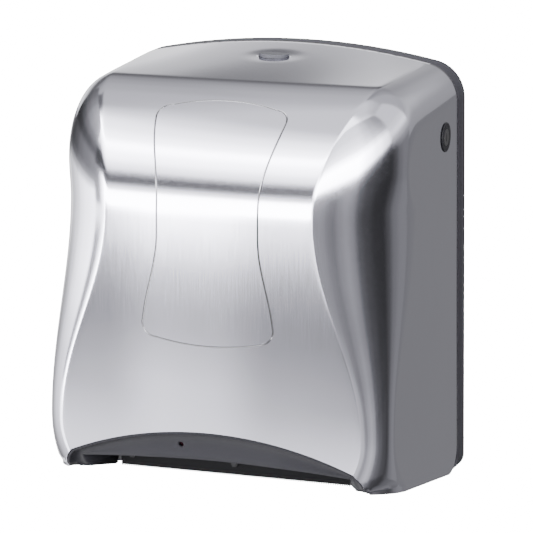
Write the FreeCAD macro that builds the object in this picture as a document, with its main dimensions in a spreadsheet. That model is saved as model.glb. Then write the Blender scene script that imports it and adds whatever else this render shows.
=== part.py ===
import FreeCAD, Part
import Sketcher
import math
import os

# Touchless roll towel dispenser, wall hung, with a sculpted drop-front cover

# The wall is the plane Y = 0, the front faces -Y and +Z is up. +X is the right side as the
# user faces it. The origin is the centre of the four wall screws. Lengths are millimetres.

doc = FreeCAD.newDocument("TowelDispenser")
sheet = doc.addObject("Spreadsheet::Sheet", "Sizes")

SIZES = {
    # Overall form, set by the cover
    "cover_width": 302, "cover_height": 366, "cover_depth": 231, "cover_wall": 1.2,
    "crown_radius": 600, "bow_radius": 1100, "side_lean": 0.0115, "side_draft": 0.010,
    "shoulder_radius": 100, "roof_fall": 14.5, "roof_dip": 1.5,
    "bottom_rise": 5.5, "bottom_y": -44, "bottom_slope": 0.148, "lobe_round": 26,
    "rim_gap": 0.5,
    # Creases that bound the front panel, measured in from half the cover's width
    "crease_angle": 22, "waist_in": 63.7, "waist_rise": 2, "hip_in": 21.7, "hip_rise": 75,
    "neck_in": 35, "back_in": 30, "back_angle": 9, "hip_curl": 0.0095,
    # Arched cut-out above the outlet, and the dark trim that lines it
    "arch_in": 29, "arch_end_rise": 46, "arch_top_rise": 71, "arch_foot_in": 20,
    "arch_foot_rise": 31, "trim_wall": 2.4, "trim_flange": 7, "slot_in": 34,
    "slot_end_rise": 41, "slot_top_rise": 47, "cove_depth": 17,
    "lobe_floor_depth": 56, "eye_x": -27.2, "eye_rise": 60.6, "eye_radius": 2.2,
    # Back plate
    "rim_depth": 21, "plate_wall": 2.6, "rib_height": 8, "rib_thick": 2,
    "lip_height": 5, "lip_thick": 1.6, "lip_gap": 1.8, "foot_round": 13,
    "screw_pitch_x": 170, "screw_pitch_z": 124, "screw_hole_radius": 3.25,
    "screw_boss_radius": 8, "screw_boss_height": 5,
    # Cover hinge
    "hinge_y": -43.8, "hinge_rise": 18.7, "pin_radius": 3.96, "pin_play": 0.04,
    "ear_thick": 5, "ear_radius": 9, "pivot_radius": 8.2, "pivot_recess": 0.9,
    "pivot_flange": 2.5, "pivot_flange_radius": 11, "corner_round": 21, "side_play": 0.4, "fit_gap": 0.1,
    # Side lock
    "lock_y": -56.4, "lock_drop": 67.9, "lock_radius": 12.4, "lock_core_radius": 9,
    "lock_depth": 18, "lock_proud": 0.9, "lock_play": 0.05, "cam_length": 22,
    "cam_thick": 2, "cam_width": 10,
    # Latch button on the roof
    "button_y": -66, "button_width": 26, "button_depth": 17, "button_proud": 1.4,
    "button_travel": 3, "button_play": 0.3, "button_flange": 2, "button_flange_drop": 9.5,
    "stem_radius": 3, "hook_top_drop": 26, "hook_thick": 3, "hook_width": 16, "hook_reach": 40,
    "hook_nose": 2.5, "hook_nose_thick": 3.5, "latch_gap": 0.3, "strike_half": 14,
    "strike_y": -33, "strike_thick": 2.5, "latch_leaf": 0.6,
    "guide_box_half": 18, "guide_box_depth": 20, "guide_box_wall": 2, "guide_box_drop": 21,
    # Roll arms and hubs
    "roll_y": -117, "roll_drop": 121, "roll_width": 203, "roll_play": 0.5, "arm_thick": 4,
    "arm_half_height": 22, "arm_play": 0.5, "hub_radius": 18.5, "hub_tip_radius": 16.5,
    "hub_reach": 11, "hub_flange_radius": 26, "hub_flange": 2.5, "hub_axle_radius": 5,
    "arm_pin_radius": 2.5, "arm_pin_y": -16, "knuckle_radius": 6, "running_play": 0.05,
    # Feed module cheeks and floor
    "cheek_x": 104, "cheek_thick": 3.5, "tab_drop": 66, "module_top_rise": 107, "module_front_in": 33,
    "module_brow_in": 113, "module_brow_rise": 71, "module_chin_rise": 52, "module_nose_in": 68,
    "floor_thick": 2.4, "floor_clear": 2.5, "nose_in": 63, "nose_half": 104,
    # Drive and pinch rollers
    "drive_in": 79, "drive_rise": 57, "shaft_radius": 3, "core_radius": 13, "tyre_radius": 16,
    "tyre_width": 24, "tyre_pitch": 48, "bush_radius": 5.5, "bush_length": 6.5,
    "core_end_gap": 6, "nip_gap": 0.3, "pinch_radius": 8, "pinch_shaft_radius": 2,
    "pinch_width": 20,
    # Gear train
    "gear_module": 1.2, "motor_teeth": 10, "idler_teeth": 30, "idler_small_teeth": 11,
    "drive_teeth": 28, "gear_width": 5, "gear_gap": 1, "gear_backlash": 0.2,
    "gear_addendum": 0.65, "gear_dedendum": 1.0, "pressure_angle": 20,
    "idler_pin_radius": 2, "gear_cover_wall": 2,
    # Motor
    "motor_in": 119, "motor_rise": 43, "motor_radius": 14, "motor_length": 46,
    "motor_shaft_radius": 1.5,
    # Batteries
    "cell_radius": 17.1, "cell_length": 60, "nub_radius": 4.75, "nub_height": 1.5,
    "cell_gap": 0.5, "cell_row_y": -32, "cell_row_pitch": 36, "cell_rise": 83, "tray_wall": 2,
    "contact_gap": 2.6, "contact_thick": 0.8, "lid_thick": 2,
    "lid_pin_radius": 1.5, "lid_knuckle_radius": 3,
    # Control board and front panel of the module
    "board_thick": 1.6, "board_rise": 37, "board_half_x": 45, "board_x": -48,
    "board_back_y": -42, "board_front_y": -98, "guide_in": 41, "guide_thick": 2.5,
    "guide_top_rise": 79, "feed_button_x": 62, "feed_button_rise": 66,
    "feed_button_radius": 5, "feed_button_travel": 1.5, "switch_x": 34, "switch_travel": 3,
    # Sensor behind the trim's eye
    "sensor_in": 20, "sensor_half": 9, "sensor_top_rise": 70,
    # Tear bar
    "tear_thick": 1, "tear_top_rise": 37, "tear_tip_rise": 22, "tear_half": 101,
    "tooth_pitch": 5, "tooth_depth": 2.2,
    # Screw heads
    "screw_head_radius": 3, "screw_head": 2,
}

# Places that follow the cover: heights drop from its top or rise from its bottom, and depths
# go in from its front
FROM_TOP = ("lock", "button_flange", "hook_top", "guide_box", "roll")
FROM_BOTTOM = ("bottom", "hip", "arch_end", "arch_top", "arch_foot", "slot_end", "slot_top",
               "eye", "hinge", "module_top", "module_brow", "module_chin", "drive", "motor",
               "cell", "board", "guide_top", "feed_button", "sensor_top", "tear_top",
               "tear_tip")
FROM_FRONT = ("module_front", "module_brow", "module_nose", "nose", "drive", "motor", "guide",
              "sensor")
PLACES = {name + "_z": "=cover_height / 2 - %s_drop" % name for name in FROM_TOP}
PLACES.update({name + "_z": "=%s_rise - cover_height / 2" % name for name in FROM_BOTTOM})
PLACES.update({name + "_y": "=%s_in - cover_depth" % name for name in FROM_FRONT})
PLACES["roof_front_z"] = "=cover_height / 2 - roof_fall"
PLACES["shoulder_z"] = "=roof_front_z + roof_dip - shoulder_radius"
PLACES["waist_z"] = "=shoulder_z + waist_rise"

for row, (name, content) in enumerate({**SIZES, **PLACES}.items(), start=1):
    sheet.set("A%d" % row, name)
    sheet.set("B%d" % row, str(content))
    sheet.setAlias("B%d" % row, name)
doc.recompute()


class Dim:
    """A size that carries its expression in the sheet's cells and its present value."""

    def __init__(self, text, value):
        self.text = text
        self.value = float(value)

    def __float__(self):
        return self.value

    def __neg__(self):
        return Dim("(0 - %s)" % self.text, -self.value)

    def __add__(self, other):
        other = dim(other)
        return Dim("(%s + %s)" % (self.text, other.text), self.value + other.value)

    def __sub__(self, other):
        other = dim(other)
        return Dim("(%s - %s)" % (self.text, other.text), self.value - other.value)

    def __mul__(self, other):
        other = dim(other)
        return Dim("(%s * %s)" % (self.text, other.text), self.value * other.value)

    def __truediv__(self, other):
        other = dim(other)
        return Dim("(%s / %s)" % (self.text, other.text), self.value / other.value)

    def __radd__(self, other):
        return dim(other) + self

    def __rsub__(self, other):
        return dim(other) - self

    def __rmul__(self, other):
        return dim(other) * self


def dim(number):
    """The number as a Dim."""
    if isinstance(number, Dim):
        return number
    return Dim("%.6f" % number, number)


class Cells:
    """The sheet's sizes as Dims, by name."""

    def __getattr__(self, name):
        return Dim("Sizes." + name, sheet.get(name))


class Numbers:
    """The sheet's sizes as plain numbers, for shapes made with Part's own functions."""

    def __getattr__(self, name):
        return float(sheet.get(name))


S = Cells()
N = Numbers()
V = FreeCAD.Vector
kept = []


# Modelling steps shared by the pieces

def keep(item, label):
    """Name a finished sub-part."""
    item.Label = label
    kept.append(item)
    return item


def bind(item, **sizes):
    """Bind properties of an object to sheet expressions."""
    for name, size in sizes.items():
        item.setExpression(name.replace("_", "."), dim(size).text)


def block(x0, x1, y0, y1, z0, z1):
    """A box between two values on each axis."""
    box = doc.addObject("Part::Box", "Block")
    bind(box, Length=dim(x1) - x0, Width=dim(y1) - y0, Height=dim(z1) - z0)
    bind(box, Placement_Base_x=x0, Placement_Base_y=y0, Placement_Base_z=z0)
    return box


def rod(axis, radius, start, end, a, b):
    """A cylinder along one axis; a and b are its other two coordinates, in X, Y, Z order."""
    bar = doc.addObject("Part::Cylinder", "Rod")
    bind(bar, Radius=radius, Height=dim(end) - start)
    turns = {"x": FreeCAD.Rotation(V(0, 1, 0), 90), "y": FreeCAD.Rotation(V(1, 0, 0), -90),
             "z": FreeCAD.Rotation()}
    bar.Placement = FreeCAD.Placement(V(0, 0, 0), turns[axis])
    places = {"x": (start, a, b), "y": (a, start, b), "z": (a, b, start)}
    x, y, z = places[axis]
    bind(bar, Placement_Base_x=x, Placement_Base_y=y, Placement_Base_z=z)
    return bar


def fuse(*items):
    """Several solids joined into one object."""
    if len(items) == 1:
        return items[0]
    joined = doc.addObject("Part::MultiFuse", "Joined")
    joined.Shapes = list(items)
    joined.Refine = True
    return joined


def cut(base, *tools):
    """The base with the tools taken away."""
    rest = doc.addObject("Part::Cut", "Rest")
    rest.Base = base
    rest.Tool = fuse(*tools)
    rest.Refine = True
    return rest


def group(*items):
    """Separate solids that share one sub-part."""
    cluster = doc.addObject("Part::Compound", "Cluster")
    cluster.Links = list(items)
    return cluster


def feature(shape, name="Formed"):
    """A shape made with Part's own functions."""
    item = doc.addObject("Part::Feature", name)
    item.Shape = shape
    return item


def new_sketch(body, plane):
    """A sketch on one of the body's own origin planes."""
    sketch = body.newObject("Sketcher::SketchObject", "Sketch")
    origin = [item for item in body.Origin.OriginFeatures if item.Role == plane][0]
    sketch.AttachmentSupport = [(origin, "")]
    sketch.MapMode = "FlatFace"
    return sketch


def sketch_loop(sketch, points):
    """A closed polygon whose corners are held by bound distances from the origin."""
    first = sketch.GeometryCount
    places = [V(float(dim(x)), float(dim(y)), 0) for x, y in points]
    count = len(points)
    for i in range(count):
        sketch.addGeometry(Part.LineSegment(places[i], places[(i + 1) % count]))
    for i in range(count):
        sketch.addConstraint(
            Sketcher.Constraint("Coincident", first + i, 2, first + (i + 1) % count, 1))
    for i, point in enumerate(points):
        for kind, size in zip(("DistanceX", "DistanceY"), point):
            size = dim(size)
            index = sketch.addConstraint(
                Sketcher.Constraint(kind, -1, 1, first + i, 1, size.value))
            sketch.setExpression("Constraints[%d]" % index, size.text)


def sketch_circle(sketch, x, y, radius):
    """A circle held by bound distances from the origin."""
    x, y, radius = dim(x), dim(y), dim(radius)
    circle = sketch.addGeometry(Part.Circle(V(x.value, y.value, 0), V(0, 0, 1), radius.value))
    for kind, size in (("DistanceX", x), ("DistanceY", y)):
        index = sketch.addConstraint(Sketcher.Constraint(kind, -1, 1, circle, 3, size.value))
        sketch.setExpression("Constraints[%d]" % index, size.text)
    index = sketch.addConstraint(Sketcher.Constraint("Radius", circle, radius.value))
    sketch.setExpression("Constraints[%d]" % index, radius.text)


def pad(plane, start, length, points, holes=()):
    """A padded polygon with round holes, from a plane offset along its normal."""
    body = doc.addObject("PartDesign::Body", "Padded")
    sketch = new_sketch(body, plane)
    bind(sketch, AttachmentOffset_Base_z=start)
    sketch_loop(sketch, points)
    for hole in holes:
        sketch_circle(sketch, *hole)
    step = body.newObject("PartDesign::Pad", "Pad")
    step.Profile = sketch
    bind(step, Length=length)
    return body


def turned(points, y, z, mirrored=False):
    """A piece turned about an axis along X; points are pairs of place on the axis and radius."""
    body = doc.addObject("PartDesign::Body", "Turned")
    sketch = new_sketch(body, "XY_Plane")
    sign = -1 if mirrored else 1
    sketch_loop(sketch, [(dim(x) * sign, radius) for x, radius in points])
    step = body.newObject("PartDesign::Revolution", "Revolution")
    step.Profile = sketch
    step.ReferenceAxis = (sketch, ["H_Axis"])
    step.Angle = 360
    bind(body, Placement_Base_y=y, Placement_Base_z=z)
    return body


def polygon(points):
    """A closed wire of straight edges."""
    return Part.makePolygon(list(points) + [points[0]])


def chain(points):
    """A wire of straight edges."""
    return [Part.makeLine(a, b) for a, b in zip(points, points[1:]) if a.distanceToPoint(b) > 1e-6]


def mirrored_x(shape):
    """The shape's mirror image across the centre plane."""
    return shape.mirror(V(0, 0, 0), V(1, 0, 0))


# Form of the cover, as formulas

TOP = N.cover_height / 2


def half_width(y, z, inset=0.0):
    """Half the width between the side planes, which lean in upwards and forwards."""
    lean = N.side_lean * (z + TOP) + N.side_draft * (-N.rim_depth - y)
    return N.cover_width / 2 - lean - inset


def ease(share):
    """A smooth step from 0 to 1."""
    share = max(0.0, min(1.0, share))
    return (1 - math.cos(math.pi * share)) / 2


HALF = N.cover_width / 2
WAIST_HALF, HIP_HALF = HALF - N.waist_in, HALF - N.hip_in
NECK_HALF, BACK_HALF = HALF - N.neck_in, HALF - N.back_in
ARCH_HALF, ARCH_FOOT, SLOT_HALF = HALF - N.arch_in, HALF - N.arch_foot_in, HALF - N.slot_in


def crease_half(z):
    """Half-width of the front panel at height z: narrow waist, wide hips, curled in below."""
    if z > N.hip_z:
        return WAIST_HALF + (HIP_HALF - WAIST_HALF) * ease((N.waist_z - z) / (N.waist_z - N.hip_z))
    return HIP_HALF - N.hip_curl * (z - N.hip_z) ** 2


def bottom_at(y):
    """Height of the cover's bottom edge, which rises towards the front."""
    return N.bottom_z + N.bottom_slope * (N.bottom_y - y)


def shoulder_axis_y(x=0.0):
    """The shoulder's centre line, bowed like the front face."""
    return -N.cover_depth + N.shoulder_radius + x * x / (2 * N.bow_radius)


def shoulder_end_angle():
    """Angle at which the shoulder's arc meets the roof."""
    return math.asin((N.roof_front_z - N.shoulder_z) / N.shoulder_radius)


def roof_height(x, y):
    """Height of the roof, which falls from the crowned back edge to a level front line."""
    angle = shoulder_end_angle()
    front_y = shoulder_axis_y(x) - N.shoulder_radius * math.cos(angle)
    back_z = TOP - x * x / (2 * N.crown_radius)
    share = (front_y - y) / (front_y + N.rim_depth)
    return N.roof_front_z + (back_z - N.roof_front_z) * share


def side_profile(inset, back_y):
    """Outline of the slice at X = 0: rising bottom, lobe round, front, shoulder and rear."""
    axis_y = shoulder_axis_y()
    radius = N.shoulder_radius - inset
    # The arc runs a little past the roof line, so that the roof's cut leaves a clean edge
    angle = shoulder_end_angle() + math.radians(3)
    turn = N.lobe_round - inset
    tilt = math.atan(N.bottom_slope)
    low = math.pi / 2 + tilt
    centre_y = -N.cover_depth + N.lobe_round
    centre_z = bottom_at(centre_y) + N.lobe_round / math.cos(tilt)

    def on_shoulder(t):
        return V(0, axis_y - radius * math.cos(t), N.shoulder_z + radius * math.sin(t))

    def on_round(t):
        return V(0, centre_y - turn * math.cos(t), centre_z - turn * math.sin(t))

    foot, end = on_round(low), on_shoulder(angle)
    back = V(0, back_y, foot.z - N.bottom_slope * (back_y - foot.y))
    high_end, high_back = V(0, end.y, TOP + 20), V(0, back_y, TOP + 20)
    # The rounds are stepped in flats, coarse ones in the cavity, which the outside never shows
    low_steps, high_steps = (3, 6) if inset else (6, 14)
    edges = chain([back] + [on_round(low * k / low_steps) for k in range(low_steps, -1, -1)])
    edges += chain([on_round(0)] + [on_shoulder(angle * k / high_steps)
                                    for k in range(high_steps + 1)])
    edges += chain([end, high_end, high_back, back])
    return Part.Face(Part.Wire(edges))


def roof_waste(inset, back_y):
    """Everything above the roof, as a loft of slices from side to side."""
    wires = []
    for k in (-1, -0.5, 0, 0.5, 1):
        x = (N.cover_width / 2 + 9) * k
        front_y = shoulder_axis_y(x) - N.shoulder_radius * math.cos(shoulder_end_angle()) - 8
        low_front = V(x, front_y, roof_height(x, front_y) - inset)
        low_back = V(x, back_y + 5, roof_height(x, back_y + 5) - inset)
        wires.append(polygon([low_front, low_back, V(x, back_y + 5, TOP + 30),
                              V(x, front_y, TOP + 30)]))
    return Part.makeLoft(wires, True, False)


def wide_form(inset, back_y):
    """The front, shoulder and bottom turned about the bow's axis, below the roof."""
    sweep = math.degrees(math.asin((N.cover_width / 2 + 9) / (N.bow_radius - N.cover_depth)))
    axis = V(0, N.bow_radius - N.cover_depth, 0)
    profile = side_profile(inset, back_y + 12)
    profile.rotate(axis, V(0, 0, 1), -sweep)
    form = profile.revolve(axis, V(0, 0, 1), 2 * sweep)
    return form.cut(roof_waste(inset, back_y + 8))


def side_planes(inset, back_y):
    """The block between the two leaning side planes."""
    front_y = -N.cover_depth - 20

    def plan(z):
        back = half_width(back_y, z, inset)
        front = half_width(front_y, z, inset)
        return polygon([V(-back, back_y, z), V(-front, front_y, z),
                        V(front, front_y, z), V(back, back_y, z)])

    return Part.makeLoft([plan(-TOP - 20), plan(TOP + 20)], True, True)


def corner_arc(origin, outward, half, reach, angle):
    """Centre and radius of the corner's arc, from the crease to its touch on the side plane."""
    radius = 60.0
    for _ in range(6):
        touch = origin + outward * (reach - radius * math.cos(angle))
        # The arc runs a hair past the side plane, which then trims it cleanly
        side = half_width(touch.y, touch.z) + 0.15
        radius = (side - half) / (1 - math.sin(angle))
    return half - radius * math.sin(angle), reach - radius * math.cos(angle), radius


def corner_section(station, inset):
    """Slice of the waste outside one corner, in a plane square to the side profile."""
    kind, place, half, angle, setback = station
    axis = V(0, shoulder_axis_y(), N.shoulder_z)
    bow = half * half / (2 * N.bow_radius)
    if kind == "front":
        origin, outward = V(0, axis.y, place), V(0, -1, 0)
        reach = N.shoulder_radius - bow - setback
    elif kind == "shoulder":
        turn = math.radians(place)
        origin, outward = axis, V(0, -math.cos(turn), math.sin(turn))
        reach = N.shoulder_radius - bow * math.cos(turn)
    else:
        origin, outward = V(0, place, N.shoulder_z), V(0, 0, 1)
        reach = roof_height(half, place) - N.shoulder_z
    lead = math.radians(angle)
    centre_x, centre_r, radius = corner_arc(origin, outward, half, reach, lead)
    first = lead - math.radians(14)
    last = math.radians(90)
    # The arc is stepped in flats, half outside and half inside its true line
    flats = 5 if inset else 9
    inner = radius - inset + radius * (1 - math.cos((last - first) / flats / 2)) / 2

    def on_arc(k):
        t = first + (last - first) * k / flats
        return V(centre_x + inner * math.sin(t), 0, 0) + origin + outward * (
            centre_r + inner * math.cos(t))

    start, end = on_arc(0), on_arc(flats)
    arc = chain([on_arc(k) for k in range(flats + 1)])
    far = N.cover_width / 2 + 60
    high = centre_r + radius * math.cos(first) + 25
    low_corner = V(far, 0, 0) + origin + outward * centre_r
    high_corner = V(far, 0, 0) + origin + outward * high
    high_start = V(start.x, 0, 0) + origin + outward * high
    return Part.Wire(arc + chain([end, low_corner, high_corner, high_start, start]))


def corner_stations():
    """Places of the corner's sections, from the bottom up, over the shoulder and back."""
    stations = []
    turn_z = bottom_at(-N.cover_depth + N.lobe_round) + N.lobe_round * 1.01
    low_z = turn_z - N.lobe_round * 0.999
    levels = [N.bottom_z - 20, low_z]
    levels += [turn_z - N.lobe_round * math.sin(math.radians(k)) for k in (66, 44, 20)]
    rows = 7
    levels += [turn_z + (N.shoulder_z - turn_z) * k / rows for k in range(rows + 1)]
    for z in levels:
        drop = min(1.0, max(0.0, (turn_z - z) / N.lobe_round))
        setback = N.lobe_round * (1 - math.sqrt(1 - drop * drop))
        half = crease_half(max(z, low_z))
        stations.append(("front", z, half, N.crease_angle, setback))
    end = math.degrees(shoulder_end_angle())
    rows = 4
    for k in range(1, rows + 1):
        turn = end * k / rows
        half = WAIST_HALF + (NECK_HALF - WAIST_HALF) * ease(turn / 90)
        angle = N.crease_angle + (N.back_angle - N.crease_angle) * 0.5 * ease(turn / 90)
        stations.append(("shoulder", turn, half, angle, 0))
    front_y = shoulder_axis_y()
    for share in (0.5, 1):
        y = front_y + (-N.rim_depth + 6 - front_y) * share
        half = NECK_HALF + (BACK_HALF - NECK_HALF) * share
        angle = N.crease_angle + (N.back_angle - N.crease_angle) * (0.5 + 0.5 * share)
        stations.append(("roof", y, half, angle, 0))
    return stations


def cover_form(inset, back_y):
    """The cover's whole outside, or its cavity when inset by the wall."""
    form = wide_form(inset, back_y).common(side_planes(inset, back_y))
    sections = [corner_section(station, inset) for station in corner_stations()]
    corner = Part.makeLoft(sections, True, True)
    return form.cut([corner, mirrored_x(corner)])


def back_outline(inset, y):
    """Outline of the cover's back edge, which the back plate repeats."""
    half = BACK_HALF
    crown = roof_height(half, -N.rim_depth)
    angle = math.radians(N.back_angle)
    origin = V(0, -N.rim_depth, N.shoulder_z)
    centre_x, centre_r, radius = corner_arc(origin, V(0, 0, 1), half, crown - N.shoulder_z, angle)
    centre_z = N.shoulder_z + centre_r
    inner = radius - inset

    def on_arc(t, side):
        return V(side * (centre_x + inner * math.sin(t)), y, centre_z + inner * math.cos(t))

    first, last = angle, math.radians(90)
    middle = (first + last) / 2
    right, left = on_arc(first, 1), on_arc(first, -1)
    low = half_width(-N.rim_depth, -TOP + inset, inset)
    low_right, low_left = V(low, y, -TOP + inset), V(-low, y, -TOP + inset)
    edges = [Part.Arc(left, V(0, y, TOP - inset), right).toShape(),
             Part.Arc(right, on_arc(middle, 1), on_arc(last, 1)).toShape(),
             Part.makeLine(on_arc(last, 1), low_right),
             Part.makeLine(low_right, low_left),
             Part.makeLine(low_left, on_arc(last, -1)),
             Part.Arc(on_arc(last, -1), on_arc(middle, -1), left).toShape()]
    return Part.Face(Part.Wire(edges))


def outline_prism(inset, y, depth):
    """The back outline run forwards, its bottom corners rounded."""
    prism = back_outline(inset, y).extrude(V(0, -depth, 0))
    low = [edge for edge in prism.Edges
           if abs(edge.BoundBox.YLength - depth) < 1e-6 and edge.BoundBox.ZMax < -TOP + inset + 1]
    return prism.makeFillet(max(N.foot_round - inset, 1), low)


def arch_path(grow, y, flatten=0.0, slot_half=None):
    """Outline of the arched cut-out in one plane, open at the bottom."""
    slot = slot_half or SLOT_HALF
    half = ARCH_HALF + flatten * (slot - ARCH_HALF) + grow
    end_z = N.arch_end_z + flatten * (N.slot_end_z - N.arch_end_z) + grow
    top_z = N.arch_top_z + flatten * (N.slot_top_z - N.arch_top_z) + grow
    foot = ARCH_FOOT + flatten * (slot - ARCH_FOOT) + grow
    deep = N.bottom_z - 20
    # The ends turn down to the feet in one bend
    bend_x = half + (foot - half) * 0.62
    bend_z = end_z + (N.arch_foot_z - end_z) * 0.38
    left, right = V(-half, y, end_z), V(half, y, end_z)
    edges = [Part.Arc(left, V(0, y, top_z), right).toShape()]
    edges += chain([right, V(bend_x, y, bend_z), V(foot, y, N.arch_foot_z), V(foot, y, deep),
                    V(-foot, y, deep), V(-foot, y, N.arch_foot_z), V(-bend_x, y, bend_z), left])
    return Part.Wire(edges)


def cove(grow, front_y, back_y):
    """The passage inside the trim: a concave ceiling that turns down to the slot."""
    mouth_y = -N.cover_depth
    depth = N.cove_depth + grow
    wires = [arch_path(grow, front_y)]
    steps = 5
    for k in range(steps + 1):
        turn = math.radians(90 * k / steps)
        wires.append(arch_path(grow, mouth_y + depth * math.sin(turn), 1 - math.cos(turn)))
    wires.append(arch_path(grow, back_y, 1, N.nose_half))
    return Part.makeLoft(wires, True, True)


# Cover shell: deep-drawn and brushed stainless steel

ROOF_AT_BUTTON = roof_height(0, N.button_y)


def oval(width, depth, z0, z1, grow=0.0):
    """An upright oval column at the button's place."""
    ring = Part.Ellipse(V(0, N.button_y, z0), width / 2 + grow, depth / 2 + grow)
    return Part.Face(Part.Wire(ring.toShape())).extrude(V(0, 0, z1 - z0))


def cover_shell_shape():
    """The shell with its arch, button and lock holes, pivots' dimples and rounded heel."""
    back_y = -N.rim_depth - N.rim_gap
    far = N.cover_width
    shell = cover_form(0.0, back_y).cut(cover_form(N.cover_wall, 5.0))
    # The floor stays only under the two front lobes
    floor_y = -N.cover_depth + N.lobe_floor_depth
    low, high = -TOP - 40, bottom_at(floor_y) + 4 * N.cover_wall
    rear_half = half_width(back_y, N.bottom_z, N.cover_wall)
    front_half = half_width(floor_y, N.bottom_z, N.cover_wall)
    opening = Part.Face(polygon([V(-rear_half, 5, low), V(-front_half, floor_y, low),
                                 V(front_half, floor_y, low), V(rear_half, 5, low)]))
    opening = opening.extrude(V(0, 0, high - low))
    arch = Part.Face(arch_path(0, -N.cover_depth - 10)).extrude(V(0, N.lobe_floor_depth + 12, 0))
    # The heel is an arc that clears the back plate as the cover swings
    heel_y, heel_z = N.bottom_y, N.bottom_z + N.corner_round
    heel = Part.makeBox(2 * far, 60, 60, V(-far, heel_y, heel_z - 60))
    heel = heel.cut(Part.makeCylinder(N.corner_round, 2 * far, V(-far, heel_y, heel_z), V(1, 0, 0)))
    button = oval(N.button_width, N.button_depth, 0, TOP + 10, N.button_play)
    lock = Part.makeCylinder(N.lock_core_radius + N.fit_gap, far, V(0, N.lock_y, N.lock_z),
                             V(1, 0, 0))
    pivots = Part.makeCylinder(N.pivot_radius + N.fit_gap, 2 * far,
                               V(-far, N.hinge_y, N.hinge_z), V(1, 0, 0))
    for tool in (opening, arch, heel, button, lock, pivots):
        shell = shell.cut(tool)
    return shell


keep(feature(cover_shell_shape()), "cover_shell")


# Outlet trim: dark moulded cove that lines the arch and frames the paper slot

def outlet_trim_shape():
    """A wall of even thickness round the cove, with a flange behind the shell's edge."""
    front_y = -N.cover_depth
    passage = cove(0, front_y - 9, N.nose_y + 9)
    walls = cove(N.trim_wall, front_y - 6, N.nose_y).cut(passage)
    seat = N.cover_wall + N.fit_gap
    behind = cover_form(seat, -N.rim_depth)
    skin = behind.cut(cover_form(seat + N.trim_wall, 0))
    lap = Part.Face(arch_path(N.trim_flange, front_y - 9)).extrude(V(0, N.lobe_floor_depth, 0))
    walls = walls.fuse(skin.common(lap).cut(passage))
    mouth_y = front_y + N.cove_depth + N.trim_wall
    mouth = Part.makeBox(2 * N.nose_half, 60, 20, V(-N.nose_half, mouth_y, N.slot_end_z - 5))
    eye = Part.makeCylinder(N.eye_radius, 40, V(N.eye_x, front_y, N.eye_z), V(0, 1, 0))
    return walls.common(behind).cut([mouth, eye])


keep(feature(outlet_trim_shape()), "outlet_trim")


# Back plate: the moulded tray that the wall screws hold

def back_plate_shape():
    """Tray with a locating lip, stiffening ribs and four screw bosses."""
    tray = outline_prism(0, 0, N.rim_depth)
    tray = tray.cut(outline_prism(N.plate_wall, -N.plate_wall, N.rim_depth))
    lip_inset = N.cover_wall + N.lip_gap
    lip_root = -N.rim_depth + N.lip_height
    lip = outline_prism(lip_inset, lip_root, 2 * N.lip_height)
    lip = lip.cut(outline_prism(lip_inset + N.lip_thick, lip_root + 1, 3 * N.lip_height))
    body = tray.fuse(lip)
    floor_y, rib_y = -N.plate_wall, -N.plate_wall - N.rib_height
    half_z, beam_half = TOP - 24, N.cheek_x - 6
    for side in (-1, 1):
        rib = Part.makeBox(N.rib_thick, N.rib_height + 1, 2 * half_z,
                           V(side * beam_half / 2 - N.rib_thick / 2, rib_y, -half_z))
        beam = Part.makeBox(2 * beam_half, N.rib_height + 1, N.rib_thick,
                            V(-beam_half, rib_y, side * half_z / 1.5 - N.rib_thick / 2))
        body = body.fuse([rib, beam])
    for x in (-N.screw_pitch_x / 2, N.screw_pitch_x / 2):
        for z in (-N.screw_pitch_z / 2, N.screw_pitch_z / 2):
            boss = Part.makeCylinder(N.screw_boss_radius, N.screw_boss_height + 1,
                                     V(x, floor_y - N.screw_boss_height, z), V(0, 1, 0))
            hole = Part.makeCylinder(N.screw_hole_radius, 40, V(x, -30, z), V(0, 1, 0))
            body = body.fuse(boss).cut(hole)
    return body.removeSplitter()


def side_at(y, z):
    """Half the outside width at a place, as a sheet expression."""
    lean = S.side_lean * (z + S.cover_height / 2)
    draft = S.side_draft * (dim(0) - S.rim_depth - y)
    return S.cover_width / 2 - lean - draft


HINGE_SIDE = side_at(S.hinge_y, S.hinge_z)
LOCK_SIDE = side_at(S.lock_y, S.lock_z)
CUP_OUT = HINGE_SIDE - S.cover_wall - 0.3
CUP_IN = CUP_OUT - S.pivot_flange
EAR_OUT = CUP_IN - S.side_play
EAR_IN = EAR_OUT - S.ear_thick
FLOOR = dim(0) - S.plate_wall
PIN_HOLE = S.pin_radius + S.fit_gap


def hinge_ear(side):
    """A tapered ear that carries one of the cover's hinge pins."""
    start = EAR_IN if side > 0 else -EAR_OUT
    root = FLOOR + 1
    high, low = S.hinge_z + S.ear_radius, S.hinge_z - S.ear_radius
    web = pad("YZ_Plane", start, S.ear_thick,
              [(root, low), (S.hinge_y, low), (S.hinge_y, high), (root, high + 9)])
    tip = rod("x", S.ear_radius, start, start + S.ear_thick, S.hinge_y, S.hinge_z)
    return fuse(web, tip)


def knuckle_lugs(side):
    """Two lugs that hold the vertical pin of a roll arm."""
    lugs = []
    for low in (S.roll_z + S.arm_half_height + 0.5, S.roll_z - S.arm_half_height - 5.5):
        lug = block(side * ARM_PIN_X - S.knuckle_radius, side * ARM_PIN_X + S.knuckle_radius,
                    S.arm_pin_y, FLOOR + 1, low, low + 5)
        nose = rod("z", S.knuckle_radius, low, low + 5, side * ARM_PIN_X, S.arm_pin_y)
        lugs += [lug, nose]
    return lugs


HUB_FACE = S.roll_width / 2 + S.roll_play
ARM_IN = HUB_FACE + S.hub_flange + S.arm_play
ARM_OUT = ARM_IN + S.arm_thick
ARM_PIN_X = ARM_OUT + S.knuckle_radius / 2
ARM_PIN_HOLE = S.arm_pin_radius + S.fit_gap

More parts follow.
